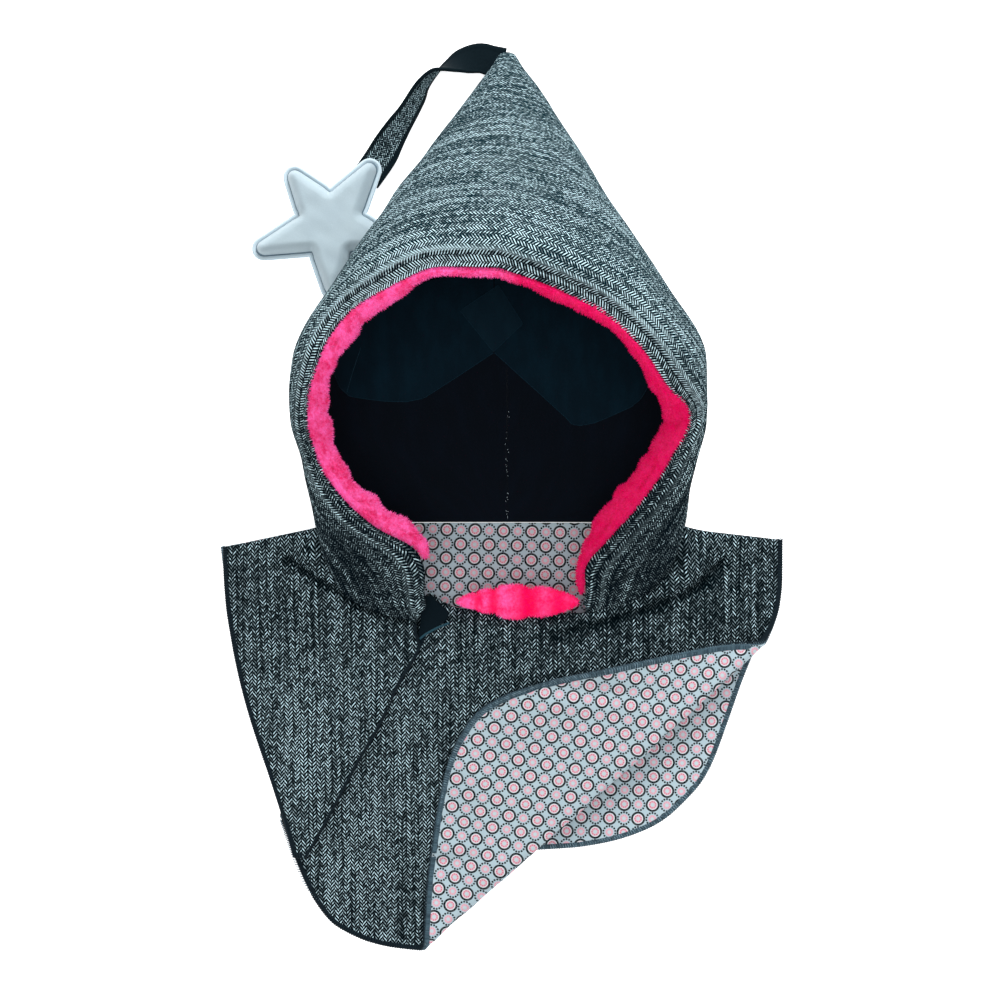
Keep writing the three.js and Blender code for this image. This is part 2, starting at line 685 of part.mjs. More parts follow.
function leftSheet() {
  const inner = neckSeam(-1, 1, SHOULDER_SHARE.front, FRONT_SEAM_GAP, FRONT_SEAM_DROP);
  const slitEnd = SLIT[SLIT.length - 1];
  const side = [];
  for (let k = 0; k <= HEM_POINTS; k += 1) {
    const y = mix(slitEnd.y, SHOULDER_Y, k / HEM_POINTS);
    side.push(new THREE.Vector3(-frontHalfWidth(y), y, 0));
  }
  const start = new THREE.Vector3(slitEnd.x, slitEnd.y, 0);
  return fanSheet(inner, [start, ...side], LEFT_COLUMNS, evenRows(LEFT_ROWS), leftHeight, flat);
}

// Tape on the neck corner of the main panel, partly under the left panel
function tapeSheet() {
  const across = [0, 0.5, 1];
  return gridSheet(across.length, TAPE.length, (i, j) => {
    const { y, rightX } = TAPE[j];
    const leftX = slitX(Math.min(y, SLIT[0].y)) - TAPE_HIDDEN;
    const x = mix(leftX, rightX, across[i]);
    return new THREE.Vector3(x, y, mainHeight(x, y) + TWEED + TAPE_LIFT);
  }, false);
}

// The chin's plush is two and a half puffs side by side
function makeChinTrim() {
  const { stations, sides, endShare } = CHIN_TRIM;
  const sections = [];
  for (let k = 0; k <= stations; k += 1) {
    const share = mix(endShare, 1 - endShare, k / stations);
    const size = Math.sin(Math.PI * share) ** CHIN_TRIM.bluntness;
    const puff = 1 - CHIN_TRIM.crease * Math.abs(Math.sin(CHIN_TRIM.puffs * Math.PI * share));
    const halfHeight = CHIN_TRIM.halfHeight * size * puff;
    const halfThickness = CHIN_TRIM.halfThickness * Math.sqrt(size) * puff;
    const x = mix(CHIN_TRIM.fromX, CHIN_TRIM.toX, share);
    const section = [];
    for (let m = 0; m < sides; m += 1) {
      const turn = 2 * Math.PI * m / sides;
      const y = CHIN_TRIM.y + halfHeight * Math.cos(turn);
      section.push(new THREE.Vector3(x, y, CHIN_TRIM.z + halfThickness * Math.sin(turn)));
    }
    sections.push(section);
  }
  return loft(sections);
}

function strapSheet() {
  const named = STRAP.map((row, k) => ({ ...row, k }));
  const curves = ['x', 'y', 'z', 'turn'].map((column) => fair(named, 'k', column));
  const at = (k) => curves.map((curve) => curve(k));
  return gridSheet(3, STRAP_STATIONS + 1, (i, j) => {
    const k = j / STRAP_STATIONS * (STRAP.length - 1);
    const [x, y, z, turn] = at(k);
    const [nextX, nextY] = at(k + SEAM_STEP);
    const [lastX, lastY] = at(k - SEAM_STEP);
    const along = new THREE.Vector2(nextX - lastX, nextY - lastY).normalize();
    const reach = (i - 1) * STRAP_WIDTH / 2;
    const level = reach * Math.cos(radians(turn));
    const up = reach * Math.sin(radians(turn));
    return new THREE.Vector3(x - along.y * level, y + along.x * level, z + up);
  }, false);
}

// Outline of the star: a round tip, then a straight run to the inner corner and out again
function starOutline() {
  const points = [];
  const tipCentre = STAR.radius - STAR.tipRound;
  for (let k = 0; k < 5; k += 1) {
    const axis = radians(STAR.firstPoint + 72 * k);
    for (const swing of [-72, -36, 0, 36, 72]) {
      const turn = axis + radians(swing);
      points.push(new THREE.Vector2(
        tipCentre * Math.cos(axis) + STAR.tipRound * Math.cos(turn),
        tipCentre * Math.sin(axis) + STAR.tipRound * Math.sin(turn)));
    }
    const inner = axis + radians(36);
    for (const sideways of [-1, 0, 1]) {
      const turn = inner + sideways * radians(STAR.innerSpread);
      const reach = STAR.innerRadius * (sideways === 0 ? 1 : STAR.innerEase);
      points.push(new THREE.Vector2(reach * Math.cos(turn), reach * Math.sin(turn)));
    }
  }
  return points;
}

function makeStar() {
  const outline = starOutline();
  const rings = [...STAR_RINGS, STAR.flangeWidth];
  const sides = outline.length;
  const positions = [];
  const triangles = [];
  const heightAt = (ring, size) => {
    if (ring >= 1) return 0;
    return size * (1 - ring ** STAR.rise) ** STAR.fullness;
  };
  const addPoint = (x, y, z) => positions.push(STAR.x + x, STAR.y + y, z);
  for (const up of [1, -1]) {
    const size = up > 0 ? STAR.crown : STAR.belly;
    addPoint(0, 0, STAR.seamHeight + up * (STAR.flange + size));
    for (const ring of rings) {
      for (const point of outline) {
        const z = STAR.seamHeight + up * (STAR.flange + heightAt(ring, size));
        addPoint(point.x * ring, point.y * ring, z);
      }
    }
  }
  const block = 1 + rings.length * sides;
  for (const [start, up] of [[0, true], [block, false]]) {
    const add = (a, b, c) => triangles.push(start + a, start + (up ? b : c), start + (up ? c : b));
    for (let k = 0; k < sides; k += 1) {
      const next = (k + 1) % sides;
      add(0, 1 + k, 1 + next);
      for (let ring = 0; ring < rings.length - 1; ring += 1) {
        const a = 1 + ring * sides;
        add(a + k, a + sides + k, a + sides + next);
        add(a + k, a + sides + next, a + next);
      }
    }
  }
  const edge = 1 + (rings.length - 1) * sides;
  for (let k = 0; k < sides; k += 1) {
    const next = (k + 1) % sides;
    triangles.push(edge + k, block + edge + k, block + edge + next);
    triangles.push(edge + k, block + edge + next, edge + next);
  }
  const geometry = new THREE.BufferGeometry();
  geometry.setAttribute('position', new THREE.Float32BufferAttribute(positions, 3));
  geometry.setIndex(triangles);
  geometry.computeVertexNormals();
  return geometry;
}

// Materials
const cloth = (color, roughness) => new THREE.MeshStandardMaterial({ color, roughness, metalness: 0 });
const tweed = cloth(0x6f8087, 0.95);
const lining = cloth(0x0a0f17, 0.8);
const plush = cloth(0xe62e84, 0.95);
const print = cloth(0xb2b2bc, 0.85);
const tape = cloth(0x081820, 0.9);
const silver = cloth(0xc2d2da, 0.7);

const hood = new THREE.Group();
hood.position.y = NECK_TO_ORIGIN;

function addPart(name, geometry, material) {
  const mesh = new THREE.Mesh(geometry, material);
  mesh.name = name;
  hood.add(mesh);
}

const back = backSheet();
const main = mainSheet();
addPart('hood_shell', makeHoodShell(), tweed);
addPart('hood_lining', makeHoodLining(), lining);
addPart('face_trim', makeFaceTrim(), plush);
addPart('chin_trim', makeChinTrim(), plush);
addPart('cape_back', thicken(back, 0, TWEED), tweed);
addPart('cape_back_lining', thicken(back, TWEED + GAP, TWEED + GAP + LINING), print);
addPart('cape_front', thicken(main, 0, TWEED), tweed);
addPart('cape_front_lining', thicken(main, -GAP - LINING, -GAP), print);
addPart('cape_left', thicken(leftSheet(), 0, TWEED), tweed);
addPart('closure_tape', thicken(tapeSheet(), 0, TAPE_THICKNESS), tape);
addPart('tail_strap', thicken(strapSheet(), -STRAP_THICKNESS / 2, STRAP_THICKNESS / 2), tweed);
addPart('star', makeStar(), silver);

const part = new THREE.Group();
part.add(hood);
export default part;
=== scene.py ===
"""Child's pointed tweed hood with a short cape, lying on its back with the face opening up.

Shapes are worked out in millimetres, with y = 0 at the neck seam, and turned into metres last.
"""
import math

import bpy
import numpy as np
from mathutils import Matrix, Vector


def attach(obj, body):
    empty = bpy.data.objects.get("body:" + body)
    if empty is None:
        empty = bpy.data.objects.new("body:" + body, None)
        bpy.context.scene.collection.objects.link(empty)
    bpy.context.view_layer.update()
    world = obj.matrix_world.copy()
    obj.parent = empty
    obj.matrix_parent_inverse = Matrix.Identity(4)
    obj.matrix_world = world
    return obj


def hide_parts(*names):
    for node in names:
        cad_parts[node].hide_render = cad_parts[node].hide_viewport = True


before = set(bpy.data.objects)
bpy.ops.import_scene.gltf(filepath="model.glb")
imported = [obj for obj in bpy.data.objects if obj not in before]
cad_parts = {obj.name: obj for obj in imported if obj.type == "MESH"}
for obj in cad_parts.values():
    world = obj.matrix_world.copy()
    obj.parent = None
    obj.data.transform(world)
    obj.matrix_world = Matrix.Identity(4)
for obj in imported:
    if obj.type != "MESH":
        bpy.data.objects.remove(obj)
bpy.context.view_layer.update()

NECK_TO_ORIGIN = 12
TWEED, SHELL, LINING, HOOD_LINING, GAP = 1.6, 1.8, 0.8, 1.2, 0.3
HOOD_TOP = GAP / 2 + SHELL
SEED = 11


# Tables and curves
def columns(names, *rows):
    """A short table: its columns by name."""
    return dict(zip(names.split(), np.array(rows, float).T))


def fair(table, given, wanted):
    """A fair curve through one column of a table against another, without overshoot."""
    order = np.argsort(table[given])
    xs, ys = table[given][order], table[wanted][order]
    steps = np.diff(xs)
    slopes = np.diff(ys) / steps
    tangents = np.concatenate([slopes[:1], np.zeros(len(xs) - 2), slopes[-1:]])
    same_way = slopes[:-1] * slopes[1:] > 0
    mean = 2 * slopes[:-1] * slopes[1:] / np.where(same_way, slopes[:-1] + slopes[1:], 1)
    tangents[1:-1] = np.where(same_way, mean, 0)

    def curve(value):
        at = np.clip(value, xs[0], xs[-1])
        i = np.clip(np.searchsorted(xs, at, side="right") - 1, 0, len(steps) - 1)
        t = (at - xs[i]) / steps[i]
        ends = (1 + 2 * t) * (1 - t) ** 2 * ys[i] + t * t * (3 - 2 * t) * ys[i + 1]
        return ends + t * (1 - t) * steps[i] * ((1 - t) * tangents[i] - t * tangents[i + 1])

    return curve


def smooth(value):
    share = np.clip(value, 0, 1)
    return share * share * (3 - 2 * share)


def mix(start, end, share):
    return start + (end - start) * share


def unit(vectors):
    return vectors / np.maximum(np.linalg.norm(vectors, axis=-1, keepdims=True), 1e-9)


def dot(a, b):
    return np.sum(a * b, axis=-1, keepdims=True)


def square_part(vectors, along):
    """What of each vector is square to a unit direction, at unit length."""
    return unit(vectors - along * dot(vectors, along))


def heading(line):
    """The unit direction of a line at each of its points."""
    return unit(np.gradient(line, axis=0))


def bell(value, width):
    """1 at zero, and smoothly down to nothing at about twice the width."""
    return np.exp(-((value / width) ** 2))


def ring_angles(count):
    return 2 * np.pi * np.arange(count) / count


def travelled(points):
    """The distance along a polyline at each of its points."""
    return np.concatenate([[0], np.cumsum(np.linalg.norm(np.diff(points, axis=0), axis=1))])


def along_line(points):
    """Points along a polyline by share of its length."""
    lengths = travelled(points)

    def at(share):
        goal = np.clip(share, 0, 1) * lengths[-1]
        return np.stack([np.interp(goal, lengths, points[:, k]) for k in range(3)], -1)

    return at


class Waves:
    """Smooth irregular waves over the plane: a sum of sines with fixed random directions."""

    def __init__(self, seed, length, count=7):
        random = np.random.default_rng(seed)
        turn = random.uniform(0, 2 * np.pi, count)
        size = 2 * np.pi / (length * random.uniform(0.7, 1.5, count))
        self.waves = np.stack([np.cos(turn) * size, np.sin(turn) * size, random.uniform(0, 6.3, count)], -1)

    def __call__(self, x, y):
        total = sum(np.sin(a * x + b * y + c) for a, b, c in self.waves)
        return total / math.sqrt(len(self.waves))


def from_segment(x, y, start, end):
    """Distance in plan from each place to a straight piece of line."""
    dx, dy = end[0] - start[0], end[1] - start[1]
    t = np.clip(((x - start[0]) * dx + (y - start[1]) * dy) / (dx * dx + dy * dy), 0, 1)
    return np.hypot(x - start[0] - t * dx, y - start[1] - t * dy)


def creases(x, y, lines):
    """Height of soft ridges along bent lines, or of grooves where it is negative.

    Each line is given by its points, its width and its height.
    """
    total = 0
    for points, width, height in lines:
        nearest = np.min([from_segment(x, y, *ends) for ends in zip(points[:-1], points[1:])], axis=0)
        total = total + height * bell(nearest, width)
    return total


# The hood's surface
BODY = columns(
    "y half_width height middle",
    (278, 5, 13, 4.2), (261, 13.8, 36, 4.4), (234, 30.5, 66, 3.2), (208, 45.7, 94, 1.7),
    (183, 60.7, 119, 0.3), (158, 75.4, 142, 0), (130, 93, 154, -0.5), (91, 114.5, 153, -0.5),
    (58, 116.5, 142, -0.8), (36, 111.5, 124, -1), (0, 106, 84, 0), (-36, 102, 46, 0), (-62, 87, 29, 0),
)
UNDERSIDE_POWER = 0.72
SHELL_DEPTH = 2
RIM = columns(
    "along left_y left_angle right_y right_angle",
    (0, 132.4, 0, 132.4, 0), (30, 133.5, 22, 123, 18), (60, 124.3, 41, 110, 33.5),
    (90, 111.6, 57, 92.3, 46), (120, 88.6, 66, 72.4, 59), (150, 66, 76, 58, 76),
    (180, 43.3, 82, 35.4, 68), (210, 19.2, 67, 11.7, 53), (240, -1.6, 47.5, -9, 40),
    (270, -16, 30, -29, 30.5), (292, -31, 26.5, -46, 31), (312, -47, 27.5, -60, 31),
)
RIM_LENGTH = {-1: 312, 1: 292}
ROLL_DEPTH, ROLL_WIDTH = 8, 18
CHIN_ROLL_FROM, CHIN_ROLL_KEPT = 0.86, 0.25
SHORT_COLUMN = 45
TIP_SHARE, NECK_SHARE, TIP_HEIGHT = 0.2, 0.6, 3.2
BACK_SEAM = columns(
    "share y", (0.2, 279), (0.25, 232), (0.33, 165), (0.41, 112), (0.48, 70), (0.55, 30), (0.6, 0)
)
NECK_SEAM = columns(
    "share angle left_y right_y",
    (0.6, 180, 0, 0), (0.65, 158, 0, 0), (0.7, 134, 0, 0), (0.75, 112, -0.5, -0.5), (0.8, 96, -6, -6),
    (0.85, 79, -25, -22), (0.9, 62, -46, -40), (0.95, 46, -54, -49), (1, 33, -57, -52),
)
body_width = fair(BODY, "y", "half_width")
body_height = fair(BODY, "y", "height")
body_middle = fair(BODY, "y", "middle")
back_seam_y = fair(BACK_SEAM, "share", "y")
neck_seam_angle = fair(NECK_SEAM, "share", "angle")
SIDES = {-1: "left", 1: "right"}
rim_y = {side: fair(RIM, "along", f"{name}_y") for side, name in SIDES.items()}
rim_angle = {side: fair(RIM, "along", f"{name}_angle") for side, name in SIDES.items()}
neck_seam_y = {side: fair(NECK_SEAM, "share", f"{name}_y") for side, name in SIDES.items()}


def of_side(curves, left, value):
    return np.where(left, curves[-1](value), curves[1](value))


def body_point(y, degrees, side, depth):
    """A point of the hood at a depth under its surface; 0 degrees is on top and 180 underneath."""
    sine, cosine = np.sin(np.radians(degrees)), np.cos(np.radians(degrees))
    under = np.asarray(degrees) > 90
    across = np.where(under, np.maximum(sine, 0) ** UNDERSIDE_POWER, sine)
    up = np.where(under, (1 - np.abs(cosine) ** UNDERSIDE_POWER) / 2, (1 + cosine) / 2)
    x = body_middle(y) + side * (body_width(y) - depth) * across
    return np.stack(np.broadcast_arrays(x, y, depth + (body_height(y) - 2 * depth) * up), -1)


def under_height(x, y, depth):
    """Height of the hood's underside at a place in plan, for the depth of one of its layers."""
    across = np.clip(np.abs(x - body_middle(y)) / (body_width(y) - depth), 0, 1)
    cosine = np.sqrt(1 - np.minimum(across ** (1 / UNDERSIDE_POWER), 1) ** 2)
    return depth + (body_height(y) - 2 * depth) * (1 - cosine ** UNDERSIDE_POWER) / 2


class HoodColumns:
    """Columns of the hood from the face opening round the outside to the tip, back seam or neck seam.

    place is the share of the rim from the forehead, negative on the left.
    """

    SAMPLES = 90

    def __init__(self, place):
        place = np.atleast_1d(np.asarray(place, float))
        self.share, self.side = np.abs(place), np.where(place < 0, -1, 1)
        left = self.side < 0
        along = self.share * np.where(left, RIM_LENGTH[-1], RIM_LENGTH[1])
        self.rim_y, self.rim_angle = of_side(rim_y, left, along), of_side(rim_angle, left, along)
        on_tip, on_back = self.share <= TIP_SHARE, self.share <= NECK_SHARE
        seam_y = of_side(neck_seam_y, left, self.share)
        self.end_y = np.where(on_back, back_seam_y(self.share), seam_y)
        self.end_angle = np.where(
            on_tip, 180 * self.share / TIP_SHARE, np.where(on_back, 180, neck_seam_angle(self.share))
        )
        into_chin = smooth((self.share - CHIN_ROLL_FROM) / (1 - CHIN_ROLL_FROM))
        self.depth_at_rim = ROLL_DEPTH * mix(1, CHIN_ROLL_KEPT, into_chin)
        self.on_tip = on_tip
        even = np.linspace(0, 1, self.SAMPLES + 1)
        path = self.path_at(np.broadcast_to(even, (len(place), len(even))), SHELL_DEPTH)
        steps = np.linalg.norm(np.diff(path, axis=1), axis=2)
        self.lengths = np.concatenate([np.zeros((len(place), 1)), np.cumsum(steps, axis=1)], axis=1)
        self.length = self.lengths[:, -1]
        self.shortness = np.minimum(1, self.length / SHORT_COLUMN)

    def path_at(self, t, depth):
        y = mix(self.rim_y[:, None], self.end_y[:, None], t)
        angle = mix(self.rim_angle[:, None], self.end_angle[:, None], t)
        return body_point(y, angle, self.side[:, None], depth)

    def point_at(self, distance):
        """Points at a distance from the rim, one row of distances per column."""
        distance = np.broadcast_to(distance, (len(self.share), np.shape(distance)[-1]))
        even = np.linspace(0, 1, self.SAMPLES + 1)
        t = np.stack([np.interp(d, known, even) for d, known in zip(distance, self.lengths)])
        roll = (1 - smooth(distance / (ROLL_WIDTH * self.shortness[:, None]))) * self.depth_at_rim[:, None]
        points = self.path_at(t, SHELL_DEPTH + roll)
        at_tip = self.on_tip[:, None] & (distance >= self.length[:, None] - 1e-6)
        tip = np.stack([body_middle(self.end_y), self.end_y, np.full_like(self.end_y, TIP_HEIGHT)], -1)
        return np.where(at_tip[..., None], tip[:, None, :], points)


# Heights of the panels
NECK_HOLE_Y, NECK_HOLE_WIDTH, NECK_HOLE_HEIGHT, NECK_HOLE_Z = -2, 104, 50, 30
FRONT_FALL, SHOULDER_FALL = 98, 38
FRONT_BASE, FLOOR_BASE = 4.6, 1.4
ONTO_BACK_BEYOND, ONTO_BACK_FADE, ONTO_BACK_LOWEST = 34, 30, -230
FRONT_OUTLINE = columns(
    "y half_width",
    (-14, 166.5), (-47, 165), (-71, 161.5), (-95, 156.5), (-119, 150), (-143, 143), (-167, 135.5),
    (-191, 128), (-215, 118.5), (-227, 112), (-239, 102), (-247, 88), (-253, 70), (-256.5, 40), (-258, 0),
)
FRONT_RIGHT = columns(
    "y half_width",
    (-10, 167.8), (-35, 167.6), (-50, 166), (-60, 163), (-71, 158.6), (-95, 155.8), (-119, 150), (-143, 143),
    (-167, 135.5), (-191, 128), (-215, 118.5), (-227, 112), (-239, 102), (-247, 88), (-253, 70),
    (-256.5, 40), (-258, 0),
)
LEFT_HEM_INSET, LEFT_HEM_FADE = 2.2, 30
SLIT_BENT_ACROSS, SLIT_BENT_FROM = 0.5, 0.12
BACK_OUTLINE = columns(
    "y half_width",
    (-14, 166.5), (-47, 162), (-71, 154), (-95, 144.5), (-119, 136), (-143, 127), (-155, 120.5),
    (-167, 110), (-179, 96), (-188, 76), (-194, 48), (-197, 0),
)
SHOULDER_Y, RIGHT_SHOULDER_Y = -15, -10.5
SLIT = columns(
    "x y",
    (-43.5, -58), (-46, -71), (-59, -94), (-70, -118), (-84.5, -143), (-102, -176), (-115.5, -199.5),
)
UNDERLAP_END, UNDERLAP_END_INSET = -176, 2
UNDERLAP_TOP, UNDERLAP_LOW, UNDERLAP_WIDENS_BELOW, UNDERLAP_FADE = 8, 24, -60, 80
LAP_RISE, LAP_FADE = 4.4, 28
TAB_DROP, TAB_X, TAB_Y, TAB_REACH = 11, -44, -50, 24
TAB_NECKLINE = columns("x y", (-41, -41), (-36, -45.5), (-30, -48.5), (-24.5, -50))
CHIN_END_X, CHIN_END_Y, CHIN_DIP = 43, -52.5, 0.8
FOLD_START, FOLD_END = np.array([-39.3, -248.7]), np.array([147.6, -79.7])
FOLD_RADIUS, FLAP_SETTLED, FLAP_SETTLE_LENGTH = 3.1, 4, 45
FRONT_FOLDS = (
    ([(-88, -36), (-80, -62)], 7, 2.2), ([(-150, -30), (-104, -52)], 12, 3),
    ([(48, -60), (104, -42)], 9, 2.4), ([(60, -84), (138, -50)], 14, 3),
)
FOLDS_FROM_NECK = 15
BACK_RISE_LENGTH, BACK_STACK, SHOULDER_SLOPE = 50, 6.2, 0.23
BACK_FLAT, BACK_FLAT_FADE = 30, 70
SEAM_BLEND, SEAM_STEP, SEAM_REACH = 24, 0.01, 3
SHOULDER_SHARE = {"front": 0.775, "back": 0.74}

front_half_width = fair(FRONT_OUTLINE, "y", "half_width")
front_right_width = fair(FRONT_RIGHT, "y", "half_width")
back_half_width = fair(BACK_OUTLINE, "y", "half_width")
slit_x = fair(SLIT, "y", "x")


def from_neck(x, y):
    reach = np.hypot(x, y - NECK_HOLE_Y)
    ratio = np.hypot(x / NECK_HOLE_WIDTH, (y - NECK_HOLE_Y) / NECK_HOLE_HEIGHT)
    distance = np.maximum(0, reach * (1 - 1 / np.maximum(ratio, 1e-6)))
    sideways = (x / np.maximum(reach, 1e-6)) ** 2
    fall = mix(FRONT_FALL, SHOULDER_FALL, sideways ** 2)
    return distance, bell(distance, fall)


def front_height(x, y):
    over_sides = smooth((back_half_width(y) + ONTO_BACK_BEYOND - np.abs(x)) / ONTO_BACK_FADE)
    base = mix(FLOOR_BASE, FRONT_BASE, over_sides * smooth((y - ONTO_BACK_LOWEST) / ONTO_BACK_FADE))
    distance, share = from_neck(x, y)
    folds = creases(x, y, FRONT_FOLDS) * smooth(distance / FOLDS_FROM_NECK)
    return base + (NECK_HOLE_Z - FRONT_BASE) * share + folds


def main_height(x, y):
    distance = np.hypot(x - TAB_X, y - TAB_Y)
    return front_height(x, y) - TAB_DROP * bell(distance, TAB_REACH)


def left_height(x, y):
    underlap = mix(UNDERLAP_TOP, UNDERLAP_LOW, smooth((UNDERLAP_WIDENS_BELOW - y) / UNDERLAP_FADE))
    lap = 1 - smooth((slit_x(y) - x - underlap) / LAP_FADE)
    return front_height(x, y) + LAP_RISE * lap


def back_height(x, y):
    across = np.abs(x)
    top = -SHOULDER_SLOPE * np.maximum(0, across - NECK_HOLE_WIDTH)
    fall = np.maximum(0, 1 - np.maximum(0, top - y) / BACK_RISE_LENGTH) ** 2
    rise = np.maximum(0, front_height(x, np.minimum(y, top)) - BACK_STACK)
    return rise * fall * smooth((across - BACK_FLAT) / BACK_FLAT_FADE)


def neck_seam(side, from_share, to_share, gap, drop, count=48):
    """The ends of the hood's columns, moved away from the hood square to the seam."""

    def ends(share):
        column = HoodColumns(side * np.clip(share, NECK_SHARE + 1e-6, 1))
        found = column.point_at(column.length[:, None] + np.array([[-SEAM_REACH, 0]]))
        return found[:, 1], found[:, 0]

    share = np.linspace(from_share, to_share, count + 1)
    end, before = ends(share)
    along = unit(ends(share + SEAM_STEP)[0] - ends(share - SEAM_STEP)[0])
    end = end + square_part(end - before, along) * gap
    end[:, 2] = np.maximum(0, end[:, 2] - drop)
    return end


def outline(half_width_at, from_y, to_y, side, count=96):
    y = mix(from_y, to_y, np.sin(np.pi / 2 * np.linspace(0, 1, count + 1)))
    return np.stack([side * half_width_at(y), y, 0 * y], -1)


class Panel:
    """A panel that fans out from the neck line to its hem; bend shifts it in plan and fold turns it over."""

    def __init__(self, inner, outer, height, bend=None, fold=None):
        self.inner, self.outer = along_line(inner), along_line(outer)
        self.height, self.bend, self.fold = height, bend, fold

    def flat(self, across, share):
        """Places in plan, with the corner still flat."""
        start, end = self.inner(across), self.outer(across)
        x, y = mix(start[..., 0], end[..., 0], share), mix(start[..., 1], end[..., 1], share)
        if self.bend:
            x = self.bend(x, y, across, share)
        return x, y

    def cloth(self, across, share):
        """The same as one array of pairs."""
        return np.stack(self.flat(*np.broadcast_arrays(across, share)), -1)

    def place(self, across, share):
        """Points of the panel as it lies, with its inner edge drawn to the neck line's height."""
        across, share = np.broadcast_arrays(across, share)
        start = self.inner(across)
        x, y = self.flat(across, share)
        away = np.hypot(x - start[..., 0], y - start[..., 1])
        seam = (start[..., 2] - self.height(start[..., 0], start[..., 1])) * (1 - smooth(away / SEAM_BLEND))
        points = np.stack([x, y, self.height(x, y) + seam], -1)
        return self.fold(points) if self.fold else points


fold_along = unit(FOLD_END - FOLD_START)
fold_away = np.array([-fold_along[1], fold_along[0]])
ROLL_LENGTH = np.pi * FOLD_RADIUS
FLAP_CREASES = (
    ([(30, -97), (132, -106)], 5.5, -1.5), ([(28, -104), (128, -113)], 7, 1.2),
    ([(-14, -150), (40, -190)], 16, 1.4),
)


def fold_distance(x, y):
    return (x - FOLD_START[0]) * fold_away[0] + (y - FOLD_START[1]) * fold_away[1] - FOLD_RADIUS


def turn_up_corner(points):
    x, y = points[..., 0], points[..., 1]
    past = -fold_distance(x, y)
    turn = np.clip(past, 0, ROLL_LENGTH) / FOLD_RADIUS
    back = np.where(past < ROLL_LENGTH, -FOLD_RADIUS * np.sin(turn), past - ROLL_LENGTH)
    new_x, new_y = x + fold_away[0] * (past + back), y + fold_away[1] * (past + back)
    settle = smooth((past - ROLL_LENGTH) / FLAP_SETTLE_LENGTH)
    lift = mix(FOLD_RADIUS * (1 - np.cos(turn)), FLAP_SETTLED, settle)
    settled = creases(new_x, new_y, FLAP_CREASES) * settle
    over = np.stack([new_x, new_y, main_height(new_x, new_y) + lift + settled], -1)
    return np.where((past > 0)[..., None], over, points)


def folded_rows(panel, across, main_rows=46, roll_rows=8, flap_rows=26):
    """Shares of each column, with rows gathered where the corner turns over."""
    start, end = panel.inner(across), panel.outer(across)
    near, far = fold_distance(start[:, 0], start[:, 1]), fold_distance(end[:, 0], end[:, 1])
    crosses = far < 0
    span = near - far
    fold_share = np.where(crosses, np.clip(near / span, 0, 1), 1)
    roll_end = np.where(crosses, np.clip((near + ROLL_LENGTH) / span, 0, 1), 1)
    rows = [mix(0, fold_share, j / main_rows) for j in range(main_rows + 1)]
    rows += [mix(fold_share, roll_end, j / roll_rows) for j in range(1, roll_rows + 1)]
    rows += [mix(roll_end, 1, j / flap_rows) for j in range(1, flap_rows + 1)]
    return np.stack(rows, 1)


# Meshes
def add_object(name, data):
    """A new object in the scene's own collection."""
    made = bpy.data.objects.new(name, data)
    bpy.context.scene.collection.objects.link(made)
    return made


def to_frame(points):
    """Metres in the shared frame, from millimetres with y = 0 at the neck seam."""
    return (np.asarray(points, float) + np.array([0, NECK_TO_ORIGIN, 0])) / 1000


def new_object(name, points, faces, materials, uv=None, face_materials=None, sharp=50):
    """A mesh object from points in millimetres; uv holds one pair per face corner, in millimetres."""
    mesh = bpy.data.meshes.new(name)
    mesh.from_pydata(to_frame(points).tolist(), [], [list(map(int, face)) for face in faces])
    for material in materials:
        mesh.materials.append(material)
    if face_materials is not None:
        mesh.polygons.foreach_set("material_index", np.asarray(face_materials, np.int32))
    if uv is not None:
        layer = mesh.uv_layers.new(name="cloth")
        layer.data.foreach_set("uv", np.concatenate([np.ravel(corner) for corner in uv]).astype(np.float32))
    mesh.polygons.foreach_set("use_smooth", np.ones(len(mesh.polygons), bool))
    if sharp:
        mesh.set_sharp_from_angle(angle=math.radians(sharp))
    mesh.validate()
    return add_object(name, mesh)


FULL_SHADE_DEPTH, MERGED_STEPS_PER_MM = 2.0, 500


